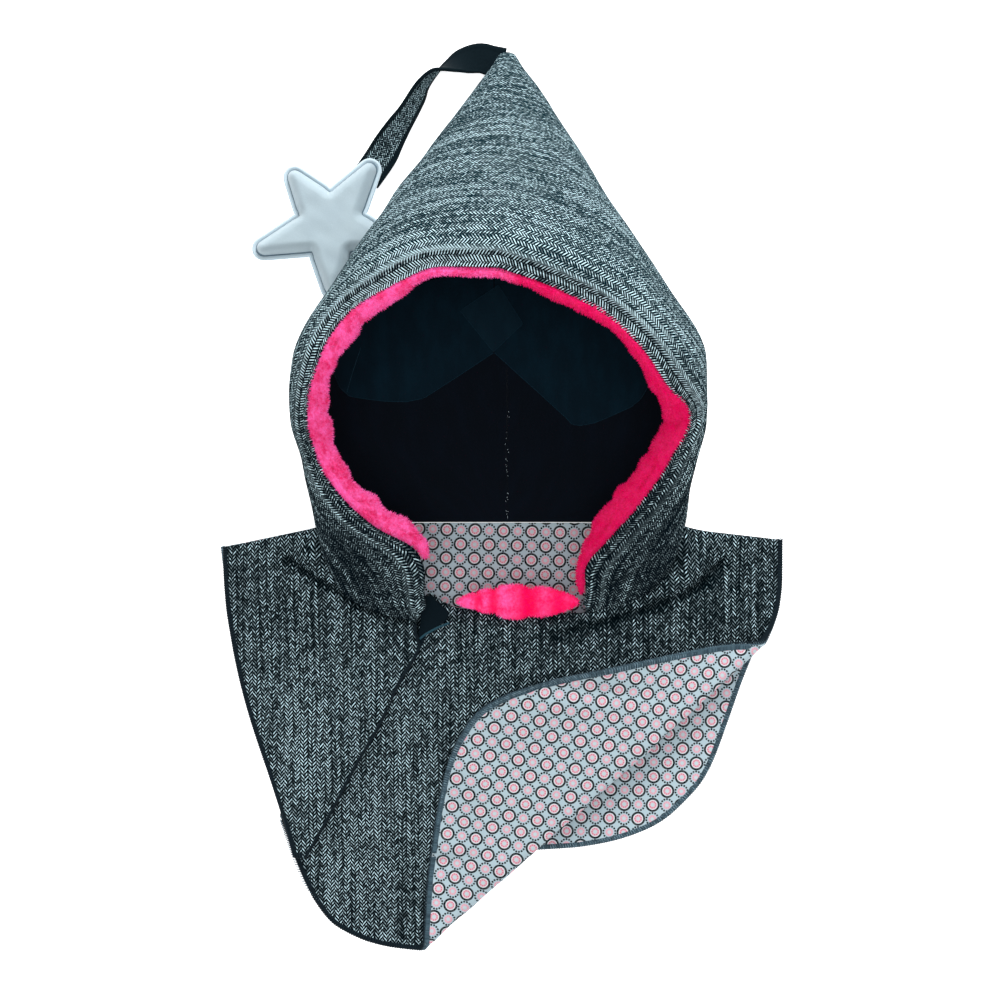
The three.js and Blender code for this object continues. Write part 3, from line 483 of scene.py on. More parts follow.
def cloth_piece(name, grid, uv, low, high, top, bottom=None, flip=False, relief=None):
    """A closed sheet from a grid of points, from low to high along its normals.

    The grid's doubled points are merged. relief is a height along the normal, one for each grid point; how
    deep it dips is kept on the points for painted shade.
    """
    keys = np.round(grid.reshape(-1, 3) * MERGED_STEPS_PER_MM).astype(np.int64)
    _, first, ids = np.unique(keys, axis=0, return_index=True, return_inverse=True)
    ids = ids.reshape(grid.shape[:2])
    points = grid.reshape(-1, 3)[first]
    a, b, c, d = ids[:-1, :-1], ids[1:, :-1], ids[1:, 1:], ids[:-1, 1:]
    quads = np.stack([a, b, c, d], -1).reshape(-1, 4)
    corner_uv = np.stack([uv[:-1, :-1], uv[1:, :-1], uv[1:, 1:], uv[:-1, 1:]], 2).reshape(-1, 4, 2)
    if flip:
        quads, corner_uv = quads[:, ::-1], corner_uv[:, ::-1]
    faces, face_uv = [], []
    for quad, corners in zip(quads, corner_uv):
        kept = [k for k in range(4) if quad[k] != quad[k - 1]]
        if len(kept) >= 3 and len({quad[k] for k in kept}) == len(kept):
            faces.append(quad[kept])
            face_uv.append(corners[kept])
    normals = np.zeros_like(points)
    for face in faces:
        p = points[face]
        normal = np.cross(p[1] - p[0], p[2] - p[0]) + np.cross(p[-2] - p[0], p[-1] - p[0])
        normals[face] += normal
    normals = unit(normals)
    if relief is not None:
        points = points + normals * relief.reshape(-1)[first][:, None]
    edges = {}
    for face, corners in zip(faces, face_uv):
        for k in range(len(face)):
            following = (k + 1) % len(face)
            edges[(face[k], face[following])] = (corners[k], corners[following])
    count = len(points)
    all_points = np.concatenate([points + normals * high, points + normals * low])
    out_faces = [list(face) for face in faces] + [list(face[::-1] + count) for face in faces]
    out_uv = list(face_uv) + [corners[::-1] for corners in face_uv]
    slots = [0] * len(faces) + [1 if bottom else 0] * len(faces)
    for (start, end), (uv_start, uv_end) in edges.items():
        if (end, start) not in edges:
            out_faces.append([end, start, start + count, end + count])
            out_uv.append(np.array([uv_end, uv_start, uv_start, uv_end]))
            slots.append(0)
    materials = [top] + ([bottom] if bottom else [])
    piece = new_object(name, all_points, out_faces, materials, out_uv, slots)
    # Painted shade: how deep each point dips, kept so the tweed is painted darker in its creases and seams.
    if relief is not None:
        crease_shade = np.clip(-relief.reshape(-1)[first] / FULL_SHADE_DEPTH, 0, 1)
        crease_shade_layer = piece.data.attributes.new("crease_shade", "FLOAT", "POINT")
        crease_shade_layer.data.foreach_set("value", np.tile(crease_shade, 2).astype(np.float32))
    return piece


def sweep(name, sections, material, uv=None, sharp=50):
    """A closed tube through sections of equal count, with flat ends, its faces turned outward."""
    spin = np.cross(sections - sections.mean(1, keepdims=True), np.roll(sections, -1, 1) - sections).sum(1)
    if np.sum(spin[:-1] * np.diff(sections.mean(1), axis=0)) < 0:
        sections, uv = sections[:, ::-1], None if uv is None else uv[:, ::-1]
    count, sides = sections.shape[:2]
    points = sections.reshape(-1, 3)
    i, k = np.meshgrid(np.arange(count - 1), np.arange(sides), indexing="ij")
    following = (k + 1) % sides
    here, beyond = i * sides, (i + 1) * sides
    quads = np.stack([here + k, here + following, beyond + following, beyond + k], -1).reshape(-1, 4)
    caps = [list(range(sides))[::-1], [(count - 1) * sides + m for m in range(sides)]]
    faces = [list(quad) for quad in quads] + caps
    corner_uv = None
    if uv is not None:
        wrap = np.concatenate([uv, uv[:, :1]], 1)
        grid = np.stack([wrap[:-1, :-1], wrap[:-1, 1:], wrap[1:, 1:], wrap[1:, :-1]], 2).reshape(-1, 4, 2)
        corner_uv = list(grid) + [uv[0][::-1], uv[-1]]
    return new_object(name, points, faces, [material], corner_uv, sharp=sharp)


# Finishes
def math_node(operation, swapped=False):
    """A method that makes a math node from a value and what it is given."""

    def apply(self, *others):
        values = (*others, self) if swapped else (self, *others)
        return self.finish.node("ShaderNodeMath", dict(enumerate(values)), operation=operation)

    return apply


class Value:
    """A node's output with the operators of arithmetic."""

    __add__ = math_node("ADD")
    __radd__ = math_node("ADD", swapped=True)
    __sub__ = math_node("SUBTRACT")
    __rsub__ = math_node("SUBTRACT", swapped=True)
    __mul__ = math_node("MULTIPLY")
    __rmul__ = math_node("MULTIPLY", swapped=True)
    __truediv__ = math_node("DIVIDE")
    __abs__ = math_node("ABSOLUTE")
    floor = math_node("FLOOR")
    fraction = math_node("FRACT")
    least = math_node("MINIMUM")
    most = math_node("MAXIMUM")
    root = math_node("SQRT")

    def __init__(self, finish, socket):
        self.finish, self.socket = finish, socket

    def rise(self, low, high):
        """0 below low, 1 above high, smooth between; the other way round where low is the larger."""
        low, high, start, end = (low, high, 0, 1) if low < high else (high, low, 1, 0)
        ranges = {0: self, 1: low, 2: high, 3: start, 4: end}
        return self.finish.node("ShaderNodeMapRange", ranges, interpolation_type="SMOOTHSTEP")


class Finish:
    """A material whose nodes are made from Python expressions."""

    def __init__(self, name, roughness=0.9, sheen=0.0, specular=0.3):
        self.material = bpy.data.materials.new(name)
        self.material.use_nodes = True
        self.tree = self.material.node_tree
        self.shader = next(n for n in self.tree.nodes if n.type == "BSDF_PRINCIPLED")
        self.shader.inputs["Roughness"].default_value = roughness
        self.shader.inputs["Sheen Weight"].default_value = sheen
        self.shader.inputs["Specular IOR Level"].default_value = specular

    def node(self, kind, sockets=None, output=0, **settings):
        node = self.tree.nodes.new(kind)
        for key, value in settings.items():
            setattr(node, key, value)
        for key, value in (sockets or {}).items():
            self.feed(node.inputs[key], value)
        return Value(self, node.outputs[output])

    def feed(self, socket, value):
        if isinstance(value, Value):
            self.tree.links.new(value.socket, socket)
        else:
            socket.default_value = value

    def cloth_place(self):
        """The place on the cloth in millimetres: across and along."""
        both = self.node("ShaderNodeUVMap", uv_map="cloth")
        return [self.node("ShaderNodeSeparateXYZ", {0: both}, output=k) for k in (0, 1)]

    def object_place(self):
        """The place in the scene, in metres."""
        return self.node("ShaderNodeTexCoord", output=3)

    def attribute(self, name):
        return self.node("ShaderNodeAttribute", output=2, attribute_name=name)

    def vector(self, x, y):
        return self.node("ShaderNodeCombineXYZ", {0: x, 1: y})

    def noise(self, place, scale, detail=2.0):
        return self.node("ShaderNodeTexNoise", {"Vector": place, "Scale": scale, "Detail": detail})

    def chance(self, x, y):
        return self.node("ShaderNodeTexWhiteNoise", {"Vector": self.vector(x, y)}, noise_dimensions="2D")

    def blend(self, share, start, end):
        return self.node("ShaderNodeMix", {0: share, 6: start, 7: end}, output=2, data_type="RGBA")

    def colour(self, value):
        self.feed(self.shader.inputs["Base Color"], value)

    def bump(self, height, distance, strength):
        made = self.node("ShaderNodeBump", {"Height": height, "Distance": distance, "Strength": strength})
        self.feed(self.shader.inputs["Normal"], made)


def shade(red, green, blue):
    """A colour in screen values from 0 to 255, as the linear colour that a shader takes."""
    def linear(value):
        value = value / 255
        return value / 12.92 if value <= 0.04045 else ((value + 0.055) / 1.055) ** 2.4
    return (linear(red), linear(green), linear(blue), 1)


ROLLED_EDGE, ROLLED_COLUMN = 9, 3.6
# Painted shade on the hood's low sides.
LOW_SIDE_FROM, LOW_SIDE_TO, LOW_SIDE_PAINTED_SHADE = 50, 220, 0.74
# Painted shade where the cloth dips.
CREASE_PAINTED_SHADE = 0.8


def tweed_finish(
    name, dark, light, column=2.4, stroke=2.25, cover=0.16, gain=1.0,
    painted_shade_across=(0, 1, 0), painted_shade_along=(0, 1, 0), rolled_edge_shade=None,
):
    """Herringbone: slanted light strokes in columns on a dark ground, each stroke a little different.

    cover is half the share of the pitch that a stroke takes. The range across and the range along each come
    with how much
    darker their far end is painted: painted shade. The last argument is the painted shade of the rolled
    edge's ground: it is for the hood, whose place across is its distance from the rim and whose place along
    is 0 at the tip's line. The weave is painted darker where the cloth dips, as shade in its creases and
    seams.
    """
    finish = Finish(name, roughness=1.0, specular=0.0)
    across, along = finish.cloth_place()
    wander = finish.noise(finish.vector(across * 0.05, along * 0.05), 1.0, 1.0)
    p = across / column
    if rolled_edge_shade:
        p = across.least(ROLLED_EDGE) / ROLLED_COLUMN + (across - ROLLED_EDGE).most(0) / column
    p = p + wander * 0.25
    odd = (p.floor() * 0.5).fraction() * 2
    zigzag = abs((p * 0.5).fraction() * 2 - 1)
    s = along / stroke + zigzag * 1.25 + wander * 0.4 + odd * 0.4
    lit = finish.chance(p.floor(), s.floor())
    knot = finish.chance((p * 3).floor() + 0.5, s.floor())
    stroke_mask = abs(s.fraction() - 0.5).rise(cover + 0.04, cover - 0.04)
    border_mask = abs(p.fraction() - 0.5).rise(0.51, 0.36)
    streak = finish.noise(finish.vector(across * 0.4, along * 0.012), 1.0, 3.0).rise(0.32, 0.68)
    thin = finish.noise(finish.vector(across * 1.1, along * 0.01), 1.0, 1.0).rise(0.35, 0.65)
    level = (lit * lit * 0.3 + knot * knot * knot * 1.5 + 0.06) * (streak * 0.9 + 0.55) * (thin * 1.2 + 0.45)
    # Painted shade: darker towards the far end of the range across and of the range along.
    weave = stroke_mask * border_mask * level * gain * (1 - across.rise(painted_shade_across[0], painted_shade_across[1]) * painted_shade_across[2])
    weave = weave * (1 - along.rise(painted_shade_along[0], painted_shade_along[1]) * painted_shade_along[2])
    # Painted shade in the creases and seams, where the cloth dips.
    weave = weave * (1 - finish.attribute("crease_shade") * CREASE_PAINTED_SHADE)
    if rolled_edge_shade:
        # On the hood: painted shade on the low sides and on the rolled edge's ground, the weave past the
        # rolled edge painted darker against the light on the cone, and a painted highlight along the crest
        # just past the rolled edge.
        low = abs(along).rise(LOW_SIDE_FROM, LOW_SIDE_TO)
        dark = finish.blend(across.rise(ROLLED_EDGE - 0.5, ROLLED_EDGE + 1.5) * (1 - low), rolled_edge_shade, dark)
        weave = weave * (1 - across.rise(ROLLED_EDGE, 30) * 0.5)
        weave = weave + abs(across - (ROLLED_EDGE + 1)).rise(1.7, 0.2) * 0.16
        ridge = finish.noise(finish.vector(across * 0.3, along * 0.008), 1.0, 1.0).rise(0.46, 0.62)
        weave = weave * (1 - low * LOW_SIDE_PAINTED_SHADE) * (ridge * 1.1 + 0.7)
    finish.colour(finish.blend(weave, dark, light))
    fuzz = finish.noise(finish.vector(across, along), 2.2, 2.0)
    finish.bump(stroke_mask * 0.8 + fuzz * 0.35, 0.0004, 0.5)
    return finish.material


PRINT_PITCH = 8.5


def print_finish():
    """Rings on a pale ground: dark rings and rings of dark dots in turn, each with a pink ring inside."""
    finish = Finish("ring_print_cotton", roughness=0.85, specular=0.15)
    across, along = finish.cloth_place()
    column, row = across / PRINT_PITCH, along / PRINT_PITCH
    x, y = (column.fraction() - 0.5) * PRINT_PITCH, (row.fraction() - 0.5) * PRINT_PITCH
    radius = (x * x + y * y).root()
    turn = finish.node("ShaderNodeMath", {0: y, 1: x}, operation="ARCTAN2")
    ring_kind = ((column.floor() + row.floor()) * 0.5).fraction().rise(0.2, 0.3)
    ink = finish.noise(finish.vector(across, along), 0.9, 3.0)

    def ring(at, half, soft=0.16):
        return abs(radius - at).rise(half + soft, half - soft)

    def dots(at, size, number):
        sideways = ((turn * (number / (2 * math.pi))).fraction() - 0.5) * (2 * math.pi * at / number)
        outward = radius - at
        return (sideways * sideways + outward * outward).root().rise(size + 0.08, size - 0.08)

    ground, pale = shade(182, 204, 213), shade(228, 238, 242)
    navy, pink, rose = shade(0, 18, 26), shade(216, 88, 112), shade(228, 184, 198)
    centre = shade(196, 216, 222)
    inside = radius.rise(3.6, 3.3)
    solid = finish.blend(inside, ground, pale)
    solid = finish.blend(ring(1.8, 0.74), solid, rose)
    solid = finish.blend(dots(1.85, 0.46, 9) * 0.7, solid, pink)
    solid = finish.blend(radius.rise(1.2, 0.95), solid, centre)
    solid = finish.blend(ring(3.6, 0.62, 0.06), solid, navy)
    dotted = finish.blend(ring(1.7, 0.68), ground, rose)
    dotted = finish.blend(dots(1.75, 0.36, 9) * 0.35, dotted, pink)
    dotted = finish.blend(radius.rise(1.15, 0.9), dotted, centre)
    dotted = finish.blend(dots(3.62, 0.62, 14), dotted, navy)
    both = finish.blend(ring_kind, dotted, solid)
    worn = finish.blend(ink.rise(0.35, 0.75) * 0.14, both, shade(200, 205, 212))
    finish.colour(worn)
    weave = finish.noise(finish.vector(across, along), 3.5, 2.0)
    finish.bump(weave, 0.00015, 0.6)
    return finish.material


def lining_finish(name, base, glow, sheen=0.15):
    """Soft dark jersey with a faint nap and tone that wanders."""
    finish = Finish(name, roughness=0.88, sheen=sheen, specular=0.12)
    across, along = finish.cloth_place()
    nap = finish.noise(finish.vector(across * 0.12, along * 0.05), 1.0, 4.0)
    fine = finish.noise(finish.vector(across * 1.6, along * 0.7), 1.0, 2.0)
    finish.colour(finish.blend(nap.rise(0.35, 0.75) * 0.7 + fine * 0.3, base, glow))
    finish.bump(fine, 0.0003, 0.5)
    return finish.material


def plush_finish(name, deep, bright, glow, shaded, folds=()):
    """Short pile whose tone changes from tuft to tuft.

    It is painted deeper over a range of x, standing in for the sheen of the pile's lean, and deepest in the
    folds, standing in for their shade.
    """
    finish = Finish(name, roughness=0.95, sheen=0.15, specular=0.0)
    place = finish.object_place()
    tufts = finish.noise(place, 620.0, 3.0)
    clumps = finish.noise(place, 150.0, 2.0)
    x = finish.node("ShaderNodeSeparateXYZ", {0: place})
    # Painted shade: deeper over the range of x, for the sheen of the pile's lean, and deeper still in each
    # fold.
    tone = (tufts.rise(0.3, 0.7) * 0.5 + clumps.rise(0.35, 0.65) * 0.55 + 0.12) * (1 - x.rise(*shaded) * 0.9)
    for middle, half, share in folds:
        tone = tone * (1 - abs(x - middle + (clumps - 0.5) * 0.004).rise(half * 1.5, 0) * share)
    finish.colour(finish.blend(tone, deep, bright))
    # Painted light: the pile glows a little in its own colour.
    finish.feed(finish.shader.inputs["Emission Color"], finish.blend(tone, deep, bright))
    finish.shader.inputs["Sheen Roughness"].default_value = 0.4
    finish.shader.inputs["Sheen Tint"].default_value = (1, 0.55, 0.8, 1)
    finish.shader.inputs["Emission Strength"].default_value = glow
    finish.bump(tufts, 0.0006, 0.7)
    return finish.material


THREAD_PITCH = 0.7


def thread_finish(name, front, back):
    """Overlock thread round an edge: across is positive on the tweed side."""
    finish = Finish(name, roughness=0.8, specular=0.2)
    across, along = finish.cloth_place()
    strand = abs(((along + across * 0.5) / THREAD_PITCH).fraction() - 0.5).rise(0.1, 0.45)
    lit = finish.chance((along / THREAD_PITCH).floor(), across.floor())
    tone = finish.blend(across.rise(-0.4, 0.4), back, front)
    finish.colour(finish.blend(strand * 0.6 + lit * 0.4, tone, shade(6, 22, 30)))
    finish.bump(1 - strand, 0.0004, 0.8)
    return finish.material


def strand_finish(name, front, back):
    """One overlock strand, pale on the tweed's side and dark on the other."""
    finish = Finish(name, roughness=0.7, specular=0.25)
    side = finish.attribute("tweed_side")
    place = finish.object_place()
    change = finish.noise(place, 420.0, 1.0).rise(0.35, 0.65)
    tone = finish.blend(side, back, front)
    finish.colour(finish.blend(change * 0.75, tone, shade(8, 28, 38)))
    return finish.material


def star_finish(name, low, high, spark):
    """Silver cloth whose tone wanders a little."""
    finish = Finish(name, roughness=0.6, sheen=0.2, specular=0.35)
    place = finish.object_place()
    tone = finish.noise(place, 60.0, 3.0)
    fine = finish.noise(place, 1500.0, 2.0)
    base = finish.blend(tone.rise(0.3, 0.7), low, high)
    finish.colour(finish.blend(fine.rise(0.4, 0.7) * 0.15, base, spark))
    finish.bump(tone * 0.7 + fine * 0.3, 0.0005, 0.4)
    return finish.material


def plain_finish(name, colour, roughness=0.9, fine_scale=900.0):
    """One colour with a fine grain."""
    finish = Finish(name, roughness=roughness, specular=0.08)
    place = finish.object_place()
    fine = finish.noise(place, fine_scale, 2.0)
    red, green, blue, _ = colour
    lighter = (red * 1.6 + 0.003, green * 1.6 + 0.003, blue * 1.6 + 0.003, 1)
    finish.colour(finish.blend(fine, colour, lighter))
    finish.bump(fine, 0.0003, 0.6)
    return finish.material


# Painted light and shade: the same tweed as the cape's, painted lighter on its ground and in gain for the
# light on the hood, and darker away from the rim.
hood_tweed = tweed_finish(
    "hood_tweed", shade(6, 30, 38), shade(214, 246, 255), column=2.1, stroke=1.75, cover=0.17, gain=2.3,
    painted_shade_across=(30, 190, 0.3), rolled_edge_shade=shade(0, 10, 19),
)
# Painted shade on the cape: darker towards the right, towards the neck and in the dips.
cape_tweed = tweed_finish(
    "cape_tweed", shade(0, 8, 13), shade(212, 244, 255), gain=1.3,
    painted_shade_across=(-90, 20, 0.35), painted_shade_along=(-120, -45, 0.35),
)
strap_tweed = tweed_finish("strap_tweed", shade(0, 15, 22), shade(214, 246, 255), column=1.9, stroke=1.7)
ring_print = print_finish()
black_lining = lining_finish("black_jersey", shade(1, 8, 18), shade(2, 12, 25), sheen=0.06)
teal_facing = lining_finish("teal_facing", shade(1, 22, 34), shade(3, 33, 47), sheen=0.05)
bare_patch = lining_finish("bare_patch", shade(6, 30, 43), shade(10, 38, 51), sheen=0.05)
facing_edge = lining_finish("facing_edge", shade(12, 40, 54), shade(22, 54, 70), sheen=0.0)
# A painted highlight along a crease in the lining.
crease_painted_highlight = lining_finish("crease_painted_highlight", shade(44, 78, 94), shade(60, 96, 112), sheen=0.0)
# Both plush finishes glow a little in their own colour: painted light.
pink_plush = plush_finish("pink_plush", shade(228, 0, 98), shade(252, 118, 196), 0.12, (-0.01, 0.016))
# The chin's folds are painted darker: painted shade.
chin_plush = plush_finish(
    "chin_plush_pink", shade(244, 0, 104), shade(252, 108, 186), 0.19, (0.0, 0.06),
    folds=((-0.013, 0.002, 0.7), (-0.004, 0.003, 0.85), (0.0155, 0.007, 0.95), (0.033, 0.004, 0.7)),
)
overlock = thread_finish("overlock_thread", shade(8, 28, 38), shade(96, 126, 142))
overlock_strands = strand_finish("overlock_strands", shade(12, 34, 45), shade(128, 156, 170))
tape_black = plain_finish("hook_tape", shade(4, 17, 24), fine_scale=2200.0)
strap_black = plain_finish("strap_twill", shade(3, 16, 22))
tape_thread = plain_finish("tape_thread", shade(38, 68, 80))
pale_thread = plain_finish("pale_thread", shade(150, 165, 172))
# The rim is painted lighter and the groove darker than the cloth: painted light and painted shade.
silver_cloth, silver_rim_painted_light, silver_groove_painted_shade = (
    star_finish("star_silver_" + name, *(shade(*tone) for tone in tones))
    for name, *tones in (
        ("cloth", (166, 184, 193), (172, 190, 198), (194, 210, 218)),
        ("rim", (196, 216, 226), (204, 222, 232), (220, 234, 240)),
        ("groove", (72, 102, 120), (84, 114, 130), (112, 138, 152)),
    )
)


# Repeats by Geometry Nodes
def node_tree(name, inputs):
    tree = bpy.data.node_groups.new(name, "GeometryNodeTree")
    tree.interface.new_socket(name="Geometry", in_out="INPUT", socket_type="NodeSocketGeometry")
    for label, kind in inputs:
        tree.interface.new_socket(name=label, in_out="INPUT", socket_type=kind)
    tree.interface.new_socket(name="Geometry", in_out="OUTPUT", socket_type="NodeSocketGeometry")
    return tree


def add_node(tree, kind, sockets=None, **settings):
    node = tree.nodes.new(kind)
    for key, value in settings.items():
        setattr(node, key, value)
    for key, value in (sockets or {}).items():
        if isinstance(value, bpy.types.NodeSocket):
            tree.links.new(value, node.inputs[key])
        else:
            node.inputs[key].default_value = value
    return node


def finish_tree(tree, instances, material):
    real = add_node(tree, "GeometryNodeRealizeInstances", {0: instances})
    coloured = add_node(tree, "GeometryNodeSetMaterial", {"Geometry": real.outputs[0], "Material": material})
    add_node(tree, "NodeGroupOutput", {0: coloured.outputs[0]})


def pile_tree():
    """Hairs over a surface, each leaning a little its own way."""
    tree = node_tree("plush_pile", [
        ("Hair", "NodeSocketObject"), ("Hairs per square metre", "NodeSocketFloat"),
        ("Lean", "NodeSocketFloat"), ("Seed", "NodeSocketInt"), ("Finish", "NodeSocketMaterial"),
    ])
    given = add_node(tree, "NodeGroupInput").outputs
    points = add_node(tree, "GeometryNodeDistributePointsOnFaces", {
        "Mesh": given["Geometry"], "Density": given["Hairs per square metre"], "Seed": given["Seed"],
    })
    lean = add_node(tree, "FunctionNodeRandomValue", {
        0: (-1, -1, -1), 1: (1, 1, 1), "Seed": given["Seed"],
    }, data_type="FLOAT_VECTOR")
    scaled = add_node(tree, "ShaderNodeVectorMath", {
        0: lean.outputs[0], "Scale": given["Lean"],
    }, operation="SCALE")
    aim = add_node(tree, "ShaderNodeVectorMath", {
        0: points.outputs["Normal"], 1: scaled.outputs[0],
    }, operation="ADD")
    turn = add_node(tree, "FunctionNodeAlignRotationToVector", {"Vector": aim.outputs[0]}, axis="Z")
    spin = add_node(tree, "FunctionNodeRandomValue", {
        2: 0.0, 3: 6.283, "Seed": given["Seed"],
    }, data_type="FLOAT")
    spun = add_node(tree, "FunctionNodeRotateRotation", {
        0: turn.outputs[0],
        1: add_node(tree, "FunctionNodeAxisAngleToRotation", {0: (0, 0, 1), 1: spin.outputs[1]}).outputs[0],
    }, rotation_space="LOCAL")
    size = add_node(tree, "FunctionNodeRandomValue", {
        2: 0.6, 3: 1.15, "Seed": given["Seed"],
    }, data_type="FLOAT")
    hair = add_node(tree, "GeometryNodeObjectInfo", {"Object": given["Hair"]}, transform_space="ORIGINAL")
    placed = add_node(tree, "GeometryNodeInstanceOnPoints", {
        "Points": points.outputs["Points"], "Instance": hair.outputs["Geometry"],
        "Rotation": spun.outputs[0], "Scale": size.outputs[1],
    })
    joined = add_node(tree, "GeometryNodeJoinGeometry")
    tree.links.new(placed.outputs[0], joined.inputs[0])
    tree.links.new(given["Geometry"], joined.inputs[0])
    finish_tree(tree, joined.outputs[0], given["Finish"])
    return tree


def row_tree():
    """One thread at each point of a row, turned to the row's own directions."""
    tree = node_tree("thread_row", [("Thread", "NodeSocketObject"), ("Finish", "NodeSocketMaterial")])
    given = add_node(tree, "NodeGroupInput").outputs
    along = add_node(tree, "GeometryNodeInputNamedAttribute", {"Name": "along"}, data_type="FLOAT_VECTOR")
    face = add_node(tree, "GeometryNodeInputNamedAttribute", {"Name": "face"}, data_type="FLOAT_VECTOR")
    first = add_node(tree, "FunctionNodeAlignRotationToVector", {"Vector": face.outputs[0]}, axis="Z")
    second = add_node(tree, "FunctionNodeAlignRotationToVector", {
        "Rotation": first.outputs[0], "Vector": along.outputs[0],
    }, axis="X", pivot_axis="Z")
    thread = add_node(tree, "GeometryNodeObjectInfo", {"Object": given["Thread"]}, transform_space="ORIGINAL")
    placed = add_node(tree, "GeometryNodeInstanceOnPoints", {
        "Points": given["Geometry"], "Instance": thread.outputs["Geometry"], "Rotation": second.outputs[0],
    })
    finish_tree(tree, placed.outputs[0], given["Finish"])
    return tree


def grow(base, tree, **values):
    """Runs a tree over a piece and keeps the result as its plain mesh."""
    modifier = base.modifiers.new("grow", "NODES")
    modifier.node_group = tree
    identifiers = {item.name: item.identifier for item in tree.interface.items_tree if item.in_out == "INPUT"}
    for label, value in values.items():
        modifier[identifiers[label.replace("_", " ")]] = value
    bpy.context.view_layer.update()
    depsgraph = bpy.context.evaluated_depsgraph_get()
    mesh = bpy.data.meshes.new_from_object(base.evaluated_get(depsgraph), depsgraph=depsgraph)
    base.modifiers.remove(modifier)
    old = base.data
    base.data = mesh
    bpy.data.meshes.remove(old)
    return base


def pattern_object(name, points, faces):
    """A small mesh to repeat, in metres, kept out of the picture."""
    mesh = bpy.data.meshes.new(name)
    mesh.from_pydata([[v / 1000 for v in point] for point in points], [], faces)
    mesh.polygons.foreach_set("use_smooth", np.ones(len(mesh.polygons), bool))
    return add_object(name, mesh)


def hair_pattern(length, width):
    """A flat curved blade that ends in a point."""
    half = width / 2
    points = [(-half, 0, 0), (half, 0, 0), (-half * 0.8, 0.12 * length, 0.55 * length),
              (half * 0.8, 0.12 * length, 0.55 * length), (0, 0.4 * length, length)]
    return pattern_object("hair", points, [(0, 1, 3, 2), (2, 3, 4)])


def thread_pattern(path, radius, sides=4):
    """A thin round thread along a path."""
    path = np.array(path, float)
    points = []
    for k, point in enumerate(path):
        tangent = unit(path[min(k + 1, len(path) - 1)] - path[max(k - 1, 0)])
        helper = np.array([1.0, 0, 0]) if abs(tangent[0]) < 0.8 else np.array([0, 1.0, 0])
        first = unit(np.cross(tangent, helper))
        second = np.cross(tangent, first)
        for m in range(sides):
            turn = 2 * math.pi * m / sides
            points.append(point + radius * (math.cos(turn) * first + math.sin(turn) * second))
    faces = [
        (k * sides + m, k * sides + (m + 1) % sides, (k + 1) * sides + (m + 1) % sides, (k + 1) * sides + m)
        for k in range(len(path) - 1) for m in range(sides)
    ]
    last = (len(path) - 1) * sides
    faces += [tuple(range(sides))[::-1], tuple(last + m for m in range(sides))]
    return pattern_object("thread", points, faces)


PILE, ROW = pile_tree(), row_tree()


def thread_row(name, points, along, face, pattern, material):
    """Threads at points, in millimetres, with the row's direction and the cloth's normal at each."""
    mesh = bpy.data.meshes.new(name)
    mesh.from_pydata(to_frame(points).tolist(), [], [])
    for label, vectors in (("along", along), ("face", face)):
        layer = mesh.attributes.new(label, "FLOAT_VECTOR", "POINT")
        layer.data.foreach_set("vector", np.ravel(vectors).astype(np.float32))
    return grow(add_object(name, mesh), ROW, Thread=pattern, Finish=material)


def evenly(points, pitch):
    """Shares of a polyline's length, one each pitch."""
    length = np.sum(np.linalg.norm(np.diff(points, axis=0), axis=1))
    return np.linspace(0, 1, max(2, int(round(length / pitch)) + 1))


# Hood
HOOD_COLUMNS = 150
RIM_WIDTH, RIM_ROWS, OTHER_ROWS = 24, 33, 55
STRAIGHT_OFF_FROM, STRAIGHT_OFF_TO, CLOTH_SMOOTHINGS = 30, 70, 16
TIP_FADE, LOW_SHARE, LOW_SHARE_FADE = 0.15, 0.55, 0.1
LOW_LEVEL, LOW_LEVEL_CARE = 16, 14
UNEVEN, UNEVEN_LENGTH, UNEVEN_FROM_RIM, UNEVEN_FROM_SEAM = 0.55, 46, 30, 25
LOW_FRONT_Z, LOW_FRONT_FADE, LOW_FRONT_SHARE, LOW_FRONT_SHARE_FADE = 62, 10, 0.66, 0.06
SEWN_IN, SEWN_IN_WIDTH, SEWN_IN_FADE = 0.9, 3.2, 0.1
RIDGE, RIDGE_AT, RIDGE_WIDTH = 0.7, 10.4, 2.2
GROOVE, GROOVE_AT, GROOVE_WIDTH = 0.5, 7.4, 1.2
HOOD_CREASES = (
    ([(-73, -38), (-58, -41.5), (-43, -43)], 2.4, -1.3), ([(-74, -43.5), (-46, -48)], 3, 1.2),
    ([(-84, -12), (-79, -20), (-77.5, -29)], 2, 2.6), ([(-91, -10), (-86.5, -20), (-86, -29)], 3.6, -1.7),
    ([(60, -38), (88, -22)], 3, -1.2), ([(64, -30), (92, -12)], 3, 1.4),
)
hood_places = np.linspace(-1, 1, HOOD_COLUMNS + 1)
hood = HoodColumns(hood_places)
near_rim = np.linspace(0, RIM_WIDTH, RIM_ROWS)[None, :] * hood.shortness[:, None]
rest_of_column = hood.length[:, None] - near_rim[:, -1:]
beyond = near_rim[:, -1:] + rest_of_column * np.linspace(0, 1, OTHER_ROWS)[None, 1:]
hood_rows = np.concatenate([near_rim, beyond], 1)
hood_grid = hood.point_at(hood_rows)
centre_column = HOOD_COLUMNS // 2


def rim_distances(points):
    """Straight distance from each point to the nearest point of the face opening's rim."""
    rim = HoodColumns(np.linspace(-1, 1, 701)).point_at(np.array([0.0]))[:, 0]
    return np.array([np.min(np.linalg.norm(row[:, None] - rim[None], axis=-1), axis=1) for row in points])


